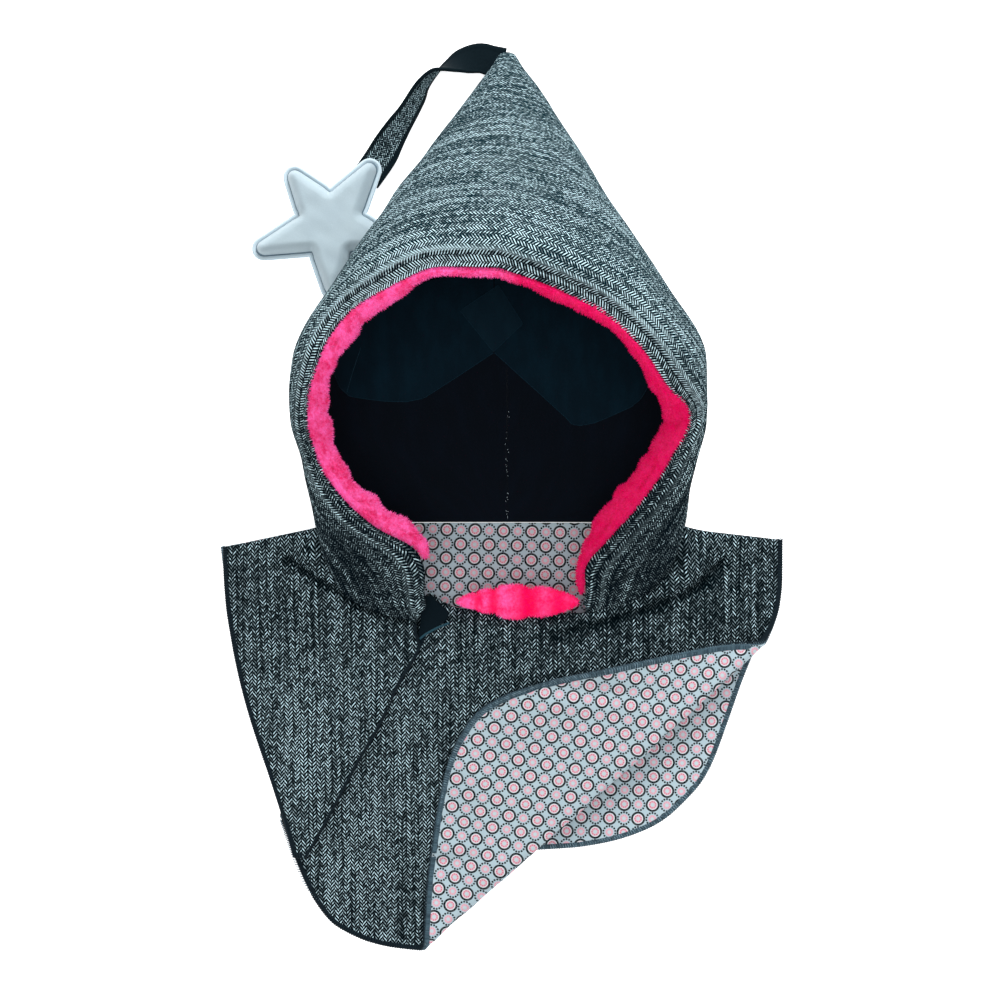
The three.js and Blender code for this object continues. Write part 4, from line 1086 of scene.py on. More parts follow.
def square_to(points, level, most_rounds=3000):
    """Values over a grid of points that grow square to the level's own growth and as fast, in the mean.

    The small linear problem, in which low levels count most, is solved by conjugate gradients, scaled by each
    point's own weight.
    """
    def difference(values):
        return values[1:] - values[:-1], values[:, 1:] - values[:, :-1]

    def to_cells(i_edges, j_edges):
        return (i_edges[:, 1:] + i_edges[:, :-1]) / 2, (j_edges[1:] + j_edges[:-1]) / 2

    def to_edges(i_cells, j_cells):
        i_cells = np.concatenate([i_cells[:, :1], i_cells, i_cells[:, -1:]], 1)
        j_cells = np.concatenate([j_cells[:1], j_cells, j_cells[-1:]], 0)
        return (i_cells[:, 1:] + i_cells[:, :-1]) / 2, (j_cells[1:] + j_cells[:-1]) / 2

    def gather(i_edges, j_edges):
        total = np.zeros(level.shape)
        total[1:] += i_edges
        total[:-1] -= i_edges
        total[:, 1:] += j_edges
        total[:, :-1] -= j_edges
        return total

    along_i, along_j = to_cells(*difference(points))
    level_i, level_j = to_cells(*difference(level))
    ii, ij, jj = (np.sum(a * b, -1) for a, b in ((along_i, along_i), (along_i, along_j), (along_j, along_j)))
    area = np.sqrt(np.maximum(ii * jj - ij * ij, 1e-6))
    goal = to_edges((ii * level_j - ij * level_i) / area, (ij * level_j - jj * level_i) / area)
    cell_level = (level[1:, 1:] + level[1:, :-1] + level[:-1, 1:] + level[:-1, :-1]) / 4
    care = 1 + LOW_LEVEL_CARE * bell(cell_level, LOW_LEVEL)
    weight = to_edges(*(care * np.clip(area / np.maximum(squared, 1e-6), 0.05, 20) for squared in (ii, jj)))

    def press(values):
        return gather(*(w * d for w, d in zip(weight, difference(values))))

    own = np.zeros(level.shape)
    for near, far, amount in ((np.s_[1:], np.s_[:-1], weight[0]), (np.s_[:, 1:], np.s_[:, :-1], weight[1])):
        own[near] += amount
        own[far] += amount
    found = np.zeros(level.shape)
    rest = gather(*(w * g for w, g in zip(weight, goal)))
    step, size = rest / own, np.sum(rest * rest / own)
    for _ in range(most_rounds):
        if size < 1e-8:
            break
        pressed = press(step)
        share = size / np.sum(step * pressed)
        found, rest = found + share * step, rest - share * pressed
        size, before = np.sum(rest * rest / own), size
        step = rest / own + size / before * step
    return found


def hood_cloth_places():
    """Distance from the rim over the hood's grid, and the place along the cloth square to it.

    Near the rim the distance is the straight one, and every column by the tip ends at the same.
    """
    length, middle_length = hood.length[:, None], hood.length[centre_column]
    goal = mix(middle_length, length, smooth((hood.share[:, None] - TIP_SHARE) / TIP_FADE))
    across = hood_rows + (goal - length) * (hood_rows / length) ** 2
    near = mix(STRAIGHT_OFF_FROM, STRAIGHT_OFF_TO, smooth((hood.share - LOW_SHARE) / LOW_SHARE_FADE))
    for k, limit in enumerate(near):
        last = int(np.searchsorted(hood_rows[k], limit)) - 1
        across[k] += hood_rim_distance[k, last] - across[k, last]
        across[k, :last] = hood_rim_distance[k, :last]
    for _ in range(CLOTH_SMOOTHINGS):
        across[1:-1] = (across[2:] + 2 * across[1:-1] + across[:-2]) / 4
    along = square_to(hood_grid, across)
    return np.stack([across, along - along[centre_column, 0]], -1)


hood_rim_distance = rim_distances(hood_grid)
hood_uv = hood_cloth_places()
to_seam = hood.length[:, None] - hood_rows
uneven = UNEVEN * Waves(SEED, UNEVEN_LENGTH)(hood_uv[..., 0], hood_uv[..., 1])
uneven = uneven * smooth(hood_rows / UNEVEN_FROM_RIM) * smooth(to_seam / UNEVEN_FROM_SEAM)
low_front = smooth((LOW_FRONT_Z - hood_grid[..., 2]) / LOW_FRONT_FADE)
low_front = low_front * smooth((hood.share[:, None] - LOW_FRONT_SHARE) / LOW_FRONT_SHARE_FADE)
folded = creases(hood_grid[..., 0], hood_grid[..., 1], HOOD_CREASES) * low_front
sewn_in = SEWN_IN * bell(to_seam, SEWN_IN_WIDTH) * smooth((hood.share[:, None] - NECK_SHARE) / SEWN_IN_FADE)
ridge = RIDGE * bell(hood_rim_distance - RIDGE_AT, RIDGE_WIDTH)
ridge = ridge - GROOVE * bell(hood_rim_distance - GROOVE_AT, GROOVE_WIDTH)
hood_relief = uneven + folded - sewn_in + ridge * hood.shortness[:, None]
hood_shell = cloth_piece(
    "hood_tweed_shell", hood_grid, hood_uv, GAP / 2, HOOD_TOP, hood_tweed, relief=hood_relief
)
hood_inner = cloth_piece(
    "hood_black_lining", hood_grid[:, 2:], hood_uv[:, 2:], -GAP - HOOD_LINING, -GAP, black_lining,
    relief=np.minimum(hood_relief[:, 2:], 0),
)

LINING_DEPTH = SHELL_DEPTH + GAP + HOOD_LINING
FACING_LAYER, PATCH_LAYER = (0.25, 0.95), (1.05, 1.5)
FACING_LEFT = columns(
    "x low high",
    (-97.5, 88.5, 101), (-93.7, 78.8, 110), (-88.8, 74.3, 117), (-79.2, 72.9, 127), (-68, 71.8, 133),
    (-56, 71.6, 138), (-45.3, 74, 143), (-25.7, 86.7, 148), (-3.9, 101.1, 150),
)
FACING_RIGHT = columns(
    "x low high",
    (-3.2, 101.1, 150), (10, 89, 147), (24, 76.4, 144), (39.4, 62.2, 139), (43, 58.2, 137), (48, 57.6, 135),
    (56, 59, 130), (64.8, 62.5, 124), (77.5, 68.2, 114), (83.1, 72.7, 108), (87.2, 79.9, 100),
)
PATCH_CORNERS = np.array([(-23.9, 126.1), (-3.9, 101.6), (13.7, 118.4), (-1, 141.5)])


def on_lining_floor(x, y):
    return np.stack([x, y, under_height(x, y, LINING_DEPTH)], -1)


def facing(name, table, material, count=48, rows=30):
    """A piece that lies on the lining behind the forehead, between two edges given by their y."""
    x = np.interp(np.linspace(0, 1, count), np.linspace(0, 1, len(table["x"])), table["x"])
    share = np.linspace(0, 1, rows)
    low, high = np.interp(x, table["x"], table["low"]), np.interp(x, table["x"], table["high"])
    grid_x = np.repeat(x[:, None], rows, 1)
    grid_y = mix(low[:, None], high[:, None], share[None, :])
    grid = on_lining_floor(grid_x, grid_y)
    return cloth_piece(name, grid, grid[..., :2], *FACING_LAYER, material), grid


facing_left, facing_left_grid = facing("facing_left", FACING_LEFT, teal_facing)
facing_right, facing_right_grid = facing("facing_right", FACING_RIGHT, teal_facing)
s, t = np.meshgrid(np.linspace(0, 1, 14), np.linspace(0, 1, 14), indexing="ij")
corner_a, corner_b, corner_c, corner_d = PATCH_CORNERS
patch_plan = (
    corner_a * ((1 - s) * (1 - t))[..., None] + corner_b * (s * (1 - t))[..., None]
    + corner_c * (s * t)[..., None] + corner_d * ((1 - s) * t)[..., None]
)
patch_grid = on_lining_floor(patch_plan[..., 0], patch_plan[..., 1])
plain_patch = cloth_piece("plain_patch", patch_grid, patch_grid[..., :2], *PATCH_LAYER, bare_patch)

# Cape panels
FRONT_SEAM_GAP, FRONT_SEAM_DROP, BACK_SEAM_GAP, BACK_SEAM_DROP = 0.5, 0.6, 0.4, 2.2
MAIN_COLUMNS, LEFT_COLUMNS, LEFT_ROWS, BACK_COLUMNS, BACK_ROWS = 151, 81, 71, 161, 61
WRINKLE_LENGTH, MAIN_WRINKLES, LEFT_WRINKLES, WRINKLES_FROM_HEM = 38, 0.35, 0.3, 12
SEAM_DIP, SEAM_DIP_WIDTH = 1.0, 3.2
MAIN_CREASES = (
    ([(30, -67), (62, -57.5), (84, -51), (102, -43.5), (119, -37), (131, -25)], 3.2, -3),
    ([(54, -53), (80, -45.5), (102, -36), (116, -26)], 5, 2), ([(106, -6), (108, -34)], 3, 1.4),
)
LEFT_CREASES = (
    ([(-124, -22), (-106, -33), (-89, -44.5), (-72, -50), (-57, -55)], 2.8, -2.4),
    ([(-112, -14), (-97, -28)], 6, 2),
)
ON_TOP_FADE = 10
FRONT_PRINT_TURN, BACK_PRINT_TURN, BACK_PRINT_SHIFT = -3.5, 1.5, (2.0, 1.0)
SEAM_ROLL, SEAM_ROLL_Y, SEAM_ROLL_WIDTH, SEAM_ROLL_END, SEAM_ROLL_FADE = 1.6, -3.2, 2.2, 80, 30


def chin_line(count=30):
    """The front neckline from the tape's corner to the right, in plan."""
    share = np.linspace(0, 1, count + 1)[1:]
    x = mix(TAB_NECKLINE["x"][-1], CHIN_END_X, share)
    y = mix(TAB_NECKLINE["y"][-1], CHIN_END_Y, share) - CHIN_DIP * np.sin(np.pi * share)
    return x, y


chin_x, chin_y = chin_line()
neck_x = np.concatenate([TAB_NECKLINE["x"], chin_x])
neck_y = np.concatenate([TAB_NECKLINE["y"], chin_y])
main_inner = np.concatenate([
    np.stack([neck_x, neck_y, main_height(neck_x, neck_y)], -1),
    neck_seam(1, 1, SHOULDER_SHARE["front"], FRONT_SEAM_GAP, FRONT_SEAM_DROP),
])
left_hem = outline(front_half_width, UNDERLAP_END, FRONT_OUTLINE["y"].min(), -1)
left_hem[:, 0] += LEFT_HEM_INSET * smooth((left_hem[:, 1] - FRONT_OUTLINE["y"].min()) / LEFT_HEM_FADE)
left_hem[0, 0] += UNDERLAP_END_INSET
right_hem = outline(front_right_width, RIGHT_SHOULDER_Y, FRONT_RIGHT["y"].min(), 1)[::-1]
main_panel = Panel(main_inner, np.concatenate([left_hem, right_hem[1:]]), main_height, fold=turn_up_corner)
main_across = np.linspace(0, 1, MAIN_COLUMNS)
main_shares = folded_rows(main_panel, main_across)
main_grid = main_panel.place(main_across[:, None], main_shares)
main_uv = main_panel.cloth(main_across[:, None], main_shares)
wrinkles = Waves(SEED + 1, WRINKLE_LENGTH)


def cloth_relief(panel, across, share, uv, height, folds):
    """Slight unevenness that dies out towards the hem, a dip where the panel is sewn on, and its creases."""
    start, end = panel.inner(across), panel.outer(across)
    length = np.linalg.norm((end - start)[..., :2], axis=-1)
    to_hem = (1 - share) * length
    uneven = height * wrinkles(uv[..., 0], uv[..., 1]) * smooth(to_hem / WRINKLES_FROM_HEM)
    return uneven - SEAM_DIP * bell(share * length, SEAM_DIP_WIDTH) + folds


on_top = smooth(fold_distance(main_uv[..., 0], main_uv[..., 1]) / ON_TOP_FADE)
main_folds = creases(main_uv[..., 0], main_uv[..., 1], MAIN_CREASES) * on_top
main_relief = cloth_relief(main_panel, main_across[:, None], main_shares, main_uv, MAIN_WRINKLES, main_folds)


def turned(uv, degrees, shift=(0, 0)):
    """Places on the cloth, turned and shifted."""
    turn = math.radians(degrees)
    x, y = uv[..., 0], uv[..., 1]
    return np.stack([
        x * math.cos(turn) - y * math.sin(turn) + shift[0],
        x * math.sin(turn) + y * math.cos(turn) + shift[1],
    ], -1)


cape_front = cloth_piece(
    "cape_front_tweed", main_grid, main_uv, 0, TWEED, cape_tweed, flip=True, relief=main_relief
)
cape_front_lining = cloth_piece(
    "cape_front_print", main_grid, turned(main_uv, FRONT_PRINT_TURN), -GAP - LINING, -GAP, ring_print,
    flip=True, relief=main_relief,
)

left_side_y = mix(SLIT["y"].min(), SHOULDER_Y, np.linspace(0, 1, 60))
left_outer = np.concatenate([
    [[SLIT["x"].min(), SLIT["y"].min(), 0]],
    np.stack([LEFT_HEM_INSET - front_half_width(left_side_y), left_side_y, 0 * left_side_y], -1),
])
left_inner = neck_seam(-1, 1, SHOULDER_SHARE["front"], FRONT_SEAM_GAP, FRONT_SEAM_DROP)


def follow_slit(x, y, across, share):
    """The front edge of the left panel curves as the closure does."""
    start, end = left_inner[0], left_outer[0]
    straight = mix(start[0], end[0], np.clip((y - start[1]) / (end[1] - start[1]), 0, 1))
    bent = (1 - smooth(across / SLIT_BENT_ACROSS)) * smooth(share / SLIT_BENT_FROM)
    return x + (slit_x(y) - straight) * bent


left_panel = Panel(left_inner, left_outer, left_height, bend=follow_slit)
left_across, left_shares = np.linspace(0, 1, LEFT_COLUMNS)[:, None], np.linspace(0, 1, LEFT_ROWS)[None, :]
left_grid = left_panel.place(left_across, left_shares)
left_uv = left_panel.cloth(left_across, left_shares)
left_folds = creases(left_uv[..., 0], left_uv[..., 1], LEFT_CREASES)
left_relief = cloth_relief(left_panel, left_across, left_shares, left_uv, LEFT_WRINKLES, left_folds)
cape_left = cloth_piece(
    "cape_left_tweed", left_grid, left_uv, 0, TWEED, cape_tweed, bottom=ring_print, relief=left_relief,
)

half_seam = {
    side: neck_seam(side, SHOULDER_SHARE["back"], NECK_SHARE, BACK_SEAM_GAP, BACK_SEAM_DROP)
    for side in (-1, 1)
}
back_inner = np.concatenate([half_seam[-1], half_seam[1][::-1][1:]])
back_left = outline(back_half_width, SHOULDER_Y, BACK_OUTLINE["y"].min(), -1)
back_right = outline(back_half_width, SHOULDER_Y, BACK_OUTLINE["y"].min(), 1)[::-1]
back_panel = Panel(back_inner, np.concatenate([back_left, back_right[1:]]), back_height)
back_across, back_shares = np.linspace(0, 1, BACK_COLUMNS)[:, None], np.linspace(0, 1, BACK_ROWS)[None, :]
back_grid = back_panel.place(back_across, back_shares)
back_uv = back_panel.cloth(back_across, back_shares)
cape_back = cloth_piece("cape_back_tweed", back_grid, back_uv, 0, TWEED, cape_tweed, flip=True)
seam_roll = SEAM_ROLL * bell(back_uv[..., 1] - SEAM_ROLL_Y, SEAM_ROLL_WIDTH)
seam_roll = seam_roll * smooth((SEAM_ROLL_END - np.abs(back_uv[..., 0])) / SEAM_ROLL_FADE)
cape_back_lining = cloth_piece(
    "cape_back_print", back_grid, turned(back_uv, BACK_PRINT_TURN, BACK_PRINT_SHIFT),
    TWEED + GAP, TWEED + GAP + LINING, ring_print, flip=True, relief=seam_roll,
)

# Overlocked hems
HEM_INWARD = 4
TWO_LAYER_HALF, FRONT_HEM_CENTRE, LEFT_EDGE = 1.35, 0.25, (0.8, 0.85)
HEM_POINTS, LEFT_HEM_POINTS, SLIT_POINTS = 420, 200, 160
SLIT_TOP, SLIT_INWARD, SLIT_WIDTH = 0.015, 0.03, 1.2


def edge_directions(line, inside):
    along = heading(line)
    return along, square_part(inside - line, along)


def hem_band(name, line, inside, tweed_side, centre, half, width=2.6, material=overlock):
    """A bound edge: thread round the edge of the cloth, from width inside on one face to the other.

    The line runs with the inside of the panel on its left, so that its upward side is up.
    """
    along, inward = edge_directions(line, inside)
    face = unit(np.cross(along, inward))
    outer = [(width, half + 0.1), (width * 0.6, half + 0.3), (0.1, half + 0.3)]
    outer = outer + [(-0.45, half * 0.6), (-0.6, 0)]
    outer = outer + [(a, -n) for a, n in outer[-2::-1]]
    core = [(width, -half + 0.05), (0.5, -half + 0.05), (0.5, half - 0.05), (width, half - 0.05)]
    profile = np.array(outer + core)
    sections = line[:, None] + inward[:, None] * profile[None, :, :1]
    sections = sections + face[:, None] * (profile[None, :, 1:] + centre)
    uv = np.stack(np.broadcast_arrays(profile[None, :, 1] * 2 * tweed_side, travelled(line)[:, None]), -1)
    return sweep(name, sections, material, uv)


def hem_lines(panel, across):
    """The line of a panel's hem, and a line a little further inside."""
    start, end = panel.inner(across), panel.outer(across)
    length = np.hypot(*(end - start)[..., :2].T)
    return panel.place(across, 1.0), panel.place(across, 1.0 - HEM_INWARD / length)


hem_across = np.linspace(0, 1, HEM_POINTS)
hems = {
    "front": (*hem_lines(main_panel, hem_across), 1, FRONT_HEM_CENTRE, TWO_LAYER_HALF),
    "left": (*hem_lines(left_panel, np.linspace(1, 0.01, LEFT_HEM_POINTS)), 1, *LEFT_EDGE),
    "back": (*hem_lines(back_panel, hem_across), -1, TWO_LAYER_HALF, TWO_LAYER_HALF),
}
hem_pieces = {
    label: hem_band(f"hem_{label}", line, inside, tweed_side, centre, half)
    for label, (line, inside, tweed_side, centre, half) in hems.items()
}

# The left panel's front edge is bound like its hem; its dark band also stands in for the shade along the
# slit: partly painted shade.
slit_share = np.linspace(1, SLIT_TOP, SLIT_POINTS)
slit_line, slit_inside = (
    left_panel.place(0 * slit_share + across, slit_share) for across in (0, SLIT_INWARD)
)
hem_pieces["slit"] = hem_band("slit_edge", slit_line, slit_inside, 1, *LEFT_EDGE, width=SLIT_WIDTH)


def cord(name, path, radius, material, sides=8):
    """A round cord along a path."""
    along = heading(path)
    across = unit(np.stack([-along[:, 1], along[:, 0], 0 * along[:, 0]], -1))
    up = np.cross(along, across)
    turn = ring_angles(sides)
    ring = across[:, None] * np.cos(turn)[None, :, None] + up[:, None] * np.sin(turn)[None, :, None]
    return sweep(name, path[:, None] + radius * ring, material)


TAPE_EDGE_CORD, TAPE_EDGE_LIFT, SEAM_CORD, FINE_LINE = 0.7, 2.4, 0.4, 0.2
TAB_EDGE = np.array([(-47, -68), (-43.5, -65.2), (-37, -61.6), (-29.6, -58.6)])
edge_plan = np.array([np.interp(np.linspace(0, 3, 30), np.arange(4), TAB_EDGE[:, k]) for k in (0, 1)]).T
edge_z = main_height(edge_plan[:, 0], edge_plan[:, 1]) + TWEED + TAPE_EDGE_LIFT
tab_edge = cord("tab_edge", np.column_stack([edge_plan, edge_z]), TAPE_EDGE_CORD, tape_thread)

SEAM_X, SEAM_FROM, SEAM_TO, SPECKS, SPECK_LIFT = 4.2, 92, 2, 26, 0.45
seam_y = np.linspace(SEAM_FROM, SEAM_TO, 80)
seam_line = on_lining_floor(SEAM_X + 0.3 * np.sin(seam_y / 9), seam_y)
lining_lines = [cord("centre_seam", seam_line, SEAM_CORD, black_lining)]
random = np.random.default_rng(SEED)
speck_at = np.sort(random.beta(1.6, 0.9, SPECKS))
dash = thread_pattern([(-0.3, 0, 0), (0, 0, 0.1), (0.3, 0, 0)], 0.17)
speck_points = along_line(seam_line)(speck_at)
none = np.zeros(SPECKS)
speck_points = speck_points + np.column_stack([random.normal(0, 0.5, SPECKS), none, none + SPECK_LIFT])
speck_along = np.column_stack([random.normal(0, 0.6, SPECKS), none - 1, none])
upward = np.tile([0.0, 0, 1], (SPECKS, 1))
lining_lines.append(thread_row("seam_specks", speck_points, speck_along, upward, dash, pale_thread))
bpy.data.objects.remove(dash)
left_low, right_low = (np.column_stack([table["x"], table["low"]]) for table in (FACING_LEFT, FACING_RIGHT))
for label, plan, layer, tone in (
    ("facing_left_edge", left_low, FACING_LAYER, facing_edge),
    ("facing_right_edge", right_low, FACING_LAYER, facing_edge),
    # A pale cord along a crease in the lining: a painted highlight.
    ("facing_crease", np.array([(-90, 76.3), (-86.5, 89), (-82, 102.9)]), FACING_LAYER, crease_painted_highlight),
    ("patch_edge", PATCH_CORNERS[[3, 0, 1, 2, 3]], PATCH_LAYER, facing_edge),
):
    spot = along_line(np.column_stack([plan, 0 * plan[:, 0]]))(np.linspace(0, 1, 60))
    path = on_lining_floor(spot[:, 0], spot[:, 1]) + np.array([0, 0, layer[1]])
    lining_lines.append(cord(label, path, FINE_LINE, tone, sides=6))

# Plush trims
FACE_TRIM = columns(
    "place start width thickness",
    (-0.89, 2, 1.5, 1.6), (-0.86, 1.6, 6, 2.6), (-0.8, 1.6, 10.2, 3.4), (-0.74, 1.2, 10.6, 3.4),
    (-0.68, 0.6, 10.2, 3.4), (-0.62, 0.2, 10.4, 3.4), (-0.56, 0.4, 11, 3.4), (-0.5, 0, 10.6, 3.4),
    (-0.44, -0.8, 7.8, 3), (-0.38, -0.4, 7.6, 3), (-0.32, 0, 10, 3.3), (-0.26, -0.2, 7.4, 3),
    (-0.2, -0.2, 7, 3), (-0.13, 0.2, 3.2, 2.2), (-0.06, 1.4, 2.4, 2), (0, 1.2, 2.8, 2),
    (0.06, 0.3, 3.2, 2.2), (0.13, -0.2, 5, 2.5), (0.2, -1.4, 4.6, 2.4), (0.26, -1, 3.6, 2.2),
    (0.32, -0.2, 4.8, 2.4), (0.38, 0.2, 5.4, 2.6), (0.44, -1, 9.8, 3.2), (0.5, -0.8, 12, 3.6),
    (0.56, -0.8, 12.2, 3.6), (0.62, 0, 12.2, 3.6), (0.68, 0, 12.2, 3.6), (0.74, 0, 13.4, 3.6),
    (0.8, 0.4, 12, 3.4), (0.86, 0.8, 7.6, 3), (0.9, 0.6, 3.6, 2.2), (0.94, 1.2, 3, 2), (0.975, 2, 1.6, 1.4),
)
TRIM_TILT, TRIM_CREASE_AT, TRIM_CREASE_DEPTH, TRIM_CREASE_WIDTH = 0.42, 0.36, 0.55, 0.07
CREASED_FROM_WIDTH, TRIM_LUMPS, TRIM_PUCKERS = 7, 0.09, 0.12
trim_start, trim_width, trim_thickness = (
    fair(FACE_TRIM, "place", name) for name in ("start", "width", "thickness")
)


def face_trim_sections(stations=460, sides=30):
    """Plush round the face opening: a soft roll that leans into the opening, with a crease along it."""
    place = np.linspace(FACE_TRIM["place"].min(), FACE_TRIM["place"].max(), stations)
    edge = HoodColumns(place).point_at(np.array([0.0]))[:, 0]
    along = heading(edge)
    level = unit(np.stack([along[:, 1], -along[:, 0], 0 * place], -1))
    inward = square_part(unit(level + np.array([0, 0, -TRIM_TILT])), along)
    normal = np.cross(along, inward)
    lumps = Waves(SEED + 5, 0.055, 5)
    turn = ring_angles(sides)
    width = trim_width(place)[:, None] * (1 + TRIM_LUMPS * lumps(place, 0 * place)[:, None])
    reach = (1 - np.cos(turn)[None, :]) / 2
    crease = TRIM_CREASE_DEPTH * bell(reach - TRIM_CREASE_AT, TRIM_CREASE_WIDTH)
    crease = crease * smooth((width - CREASED_FROM_WIDTH) / 3)
    crease = crease * smooth(0.7 + lumps(place * 0.6, 2 + 0 * place)[:, None])
    puckers = TRIM_PUCKERS * lumps(place[:, None] * 1.7, reach * 0.4 + np.sign(np.sin(turn))[None, :])
    thick = trim_thickness(place)[:, None] * (1 - crease + puckers)
    thick = thick * np.sign(np.sin(turn)) * np.abs(np.sin(turn)) ** 0.8
    out = trim_start(place)[:, None] + reach * width
    return edge[:, None] + inward[:, None] * out[..., None] + normal[:, None] * thick[..., None]


CHIN_FROM_X, CHIN_TO_X, CHIN_Y, CHIN_Z = -24.5, 45.5, -45.9, 33.2
CHIN_HALF_HEIGHT, CHIN_HALF_THICKNESS = 9.3, 4.4
CHIN_CREASES = columns("share depth width", (0.15, 0.32, 0.03), (0.3, 0.4, 0.04), (0.6, 0.36, 0.055))


def chin_sections(stations=120, sides=24):
    """The pad on the front neckline: a long soft pillow with creases across it."""
    share = np.linspace(0.004, 0.996, stations)
    size = np.sin(np.pi * share) ** 0.7
    crease = sum(depth * bell(share - at, width) for at, depth, width in zip(*CHIN_CREASES.values()))
    half_height = CHIN_HALF_HEIGHT * size * (1 - crease * 0.5)
    half_thickness = CHIN_HALF_THICKNESS * np.sqrt(size) * (1 - crease * 1.6)
    x = mix(CHIN_FROM_X, CHIN_TO_X, share)
    turn = ring_angles(sides)
    low_share = 1 - 0.34 * smooth(1 - share / 0.5)[:, None] * (np.cos(turn) < 0)
    y = CHIN_Y + half_height[:, None] * np.cos(turn) * low_share
    z = CHIN_Z + half_thickness[:, None] * np.sin(turn)
    return np.stack([np.broadcast_to(x[:, None], y.shape), y, z], -1)


HAIR_LENGTH, HAIR_WIDTH, HAIR_LEAN, FACE_HAIRS, CHIN_HAIRS = 1.9, 0.42, 0.5, 3.4e6, 3.6e6
hair = hair_pattern(HAIR_LENGTH, HAIR_WIDTH)


def plush(name, sections, material, hairs, seed):
    """A closed soft form with hairs all over it."""
    piece = sweep(name, sections, material, sharp=0)
    return grow(
        piece, PILE, Hair=hair, Hairs_per_square_metre=hairs, Lean=HAIR_LEAN, Seed=seed, Finish=material
    )


face_trim = plush("face_plush", face_trim_sections(), pink_plush, FACE_HAIRS, SEED)
chin_trim = plush("chin_plush", chin_sections(), chin_plush, CHIN_HAIRS, SEED + 1)
bpy.data.objects.remove(hair)

# Tape on the neck corner
TAPE = columns(
    "y right_x",
    (-43, -40), (-48, -35), (-53.5, -30), (-58, -32), (-64, -42), (-73, -46), (-82, -51.2), (-95, -58.6),
)
TAPE_HIDDEN, TAPE_THICKNESS, TAPE_LIFT = 3, 0.9, 1
tape_right = fair(TAPE, "y", "right_x")
tape_y = np.linspace(TAPE["y"].max(), TAPE["y"].min(), 60)
tape_left = slit_x(np.minimum(tape_y, SLIT["y"].max())) - TAPE_HIDDEN
tape_share = np.linspace(0, 1, 9)
tape_x = mix(tape_left[None, :], tape_right(tape_y)[None, :], tape_share[:, None])
tape_ys = np.broadcast_to(tape_y, tape_x.shape)
tape_grid = np.stack([tape_x, tape_ys, main_height(tape_x, tape_ys) + TWEED + TAPE_LIFT], -1)
closure_tape = cloth_piece(
    "closure_tape_black", tape_grid, tape_grid[..., :2], 0, TAPE_THICKNESS, tape_black, flip=True
)

# Strap
STRAP = columns(
    "x y z turn",
    (2, 273, 9, 0), (-5, 274.6, 8, 0), (-12, 276.4, 7.2, 4), (-21.5, 274.9, 7, 23), (-28.5, 272.2, 8, 50),
    (-34, 269.8, 8.9, 70), (-39.5, 266.8, 9.1, 90), (-45.4, 260.3, 9, 103), (-48.8, 254.1, 8.4, 114),
    (-55.1, 243.1, 8.2, 121), (-60.3, 235.5, 7.2, 132), (-65.3, 227.8, 5.7, 146), (-71, 218.6, 3.2, 170),
    (-80.6, 205, 2.1, 180),
)
STRAP["k"] = np.arange(len(STRAP["x"]), dtype=float)
STRAP_WIDTH, STRAP_THICKNESS = 17.2, 1.6
strap_curves = [fair(STRAP, "k", name) for name in ("x", "y", "z", "turn")]
strap_k = np.linspace(0, STRAP["k"][-1], 140)
strap_x, strap_y, strap_z, strap_turn = (curve(strap_k) for curve in strap_curves)
strap_along = unit(np.stack([np.gradient(strap_x), np.gradient(strap_y)], -1))
reach = np.linspace(-STRAP_WIDTH / 2, STRAP_WIDTH / 2, 13)
level = reach[:, None] * np.cos(np.radians(strap_turn))
strap_grid = np.stack([
    strap_x - strap_along[:, 1] * level,
    strap_y + strap_along[:, 0] * level,
    strap_z + reach[:, None] * np.sin(np.radians(strap_turn)),
], -1)
strap_line = np.stack([strap_x, strap_y, strap_z], -1)
strap_uv = np.stack(np.broadcast_arrays(reach[:, None], travelled(strap_line)[None, :]), -1)
tail_strap = cloth_piece(
    "tail_strap_tweed", strap_grid, strap_uv, -STRAP_THICKNESS / 2, STRAP_THICKNESS / 2,
    strap_black, bottom=strap_tweed, flip=True,
)

for label, edge, inside, band_width in (
    ("right", strap_grid[0], strap_grid[2], 2.8), ("left", strap_grid[-1][::-1], strap_grid[-3][::-1], 1.2),
):
    hem_pieces["strap_" + label] = hem_band(
        f"strap_edge_{label}", edge, inside, 1, 0, 0.75, width=band_width, material=strap_black
    )

# Star
STAR_X, STAR_Y, STAR_SEAM_Z = -100.7, 176.8, 6.4
STAR_POINTS, STAR_INNER, STAR_FIRST_POINT, STAR_TIP_ROUND = (45, 40.4, 47.1, 41.9, 43.4), 19.8, 55, 4.6
STAR_FLANGE, STAR_CROWN, STAR_BELLY = 0.8, 8.5, 5.2
STAR_EDGE_POINTS = 240
STAR_RIM = columns("out rise", (0.15, 0), (0.5, 0.2), (1.1, 0.85), (1.8, 0.85), (2.5, -0.15))


def star_outline():
    """Closed outline with round tips and soft inner corners, from its middle."""
    points = []
    for k in range(5):
        axis = math.radians(STAR_FIRST_POINT + 72 * k)
        middle = STAR_POINTS[k] - STAR_TIP_ROUND
        for swing in np.linspace(-72, 72, 9):
            turn = axis + math.radians(swing)
            points.append((
                middle * math.cos(axis) + STAR_TIP_ROUND * math.cos(turn),
                middle * math.sin(axis) + STAR_TIP_ROUND * math.sin(turn),
            ))
        inner = axis + math.radians(36)
        for sideways in np.linspace(-1, 1, 5):
            turn = inner + math.radians(8) * sideways
            reach = STAR_INNER * mix(1, 1.14, abs(sideways) ** 1.5)
            points.append((reach * math.cos(turn), reach * math.sin(turn)))
    closed = np.array(points + points[:1])
    lengths = travelled(closed)
    even = np.linspace(0, lengths[-1], STAR_EDGE_POINTS + 1)[:-1]
    return np.stack([np.interp(even, lengths, closed[:, k]) for k in (0, 1)], -1)


STAR_SHOULDER, STAR_DOME = 6.5, 0.12
STAR_PUCKERS, STAR_PUCKER_LENGTH = 0.16, 12


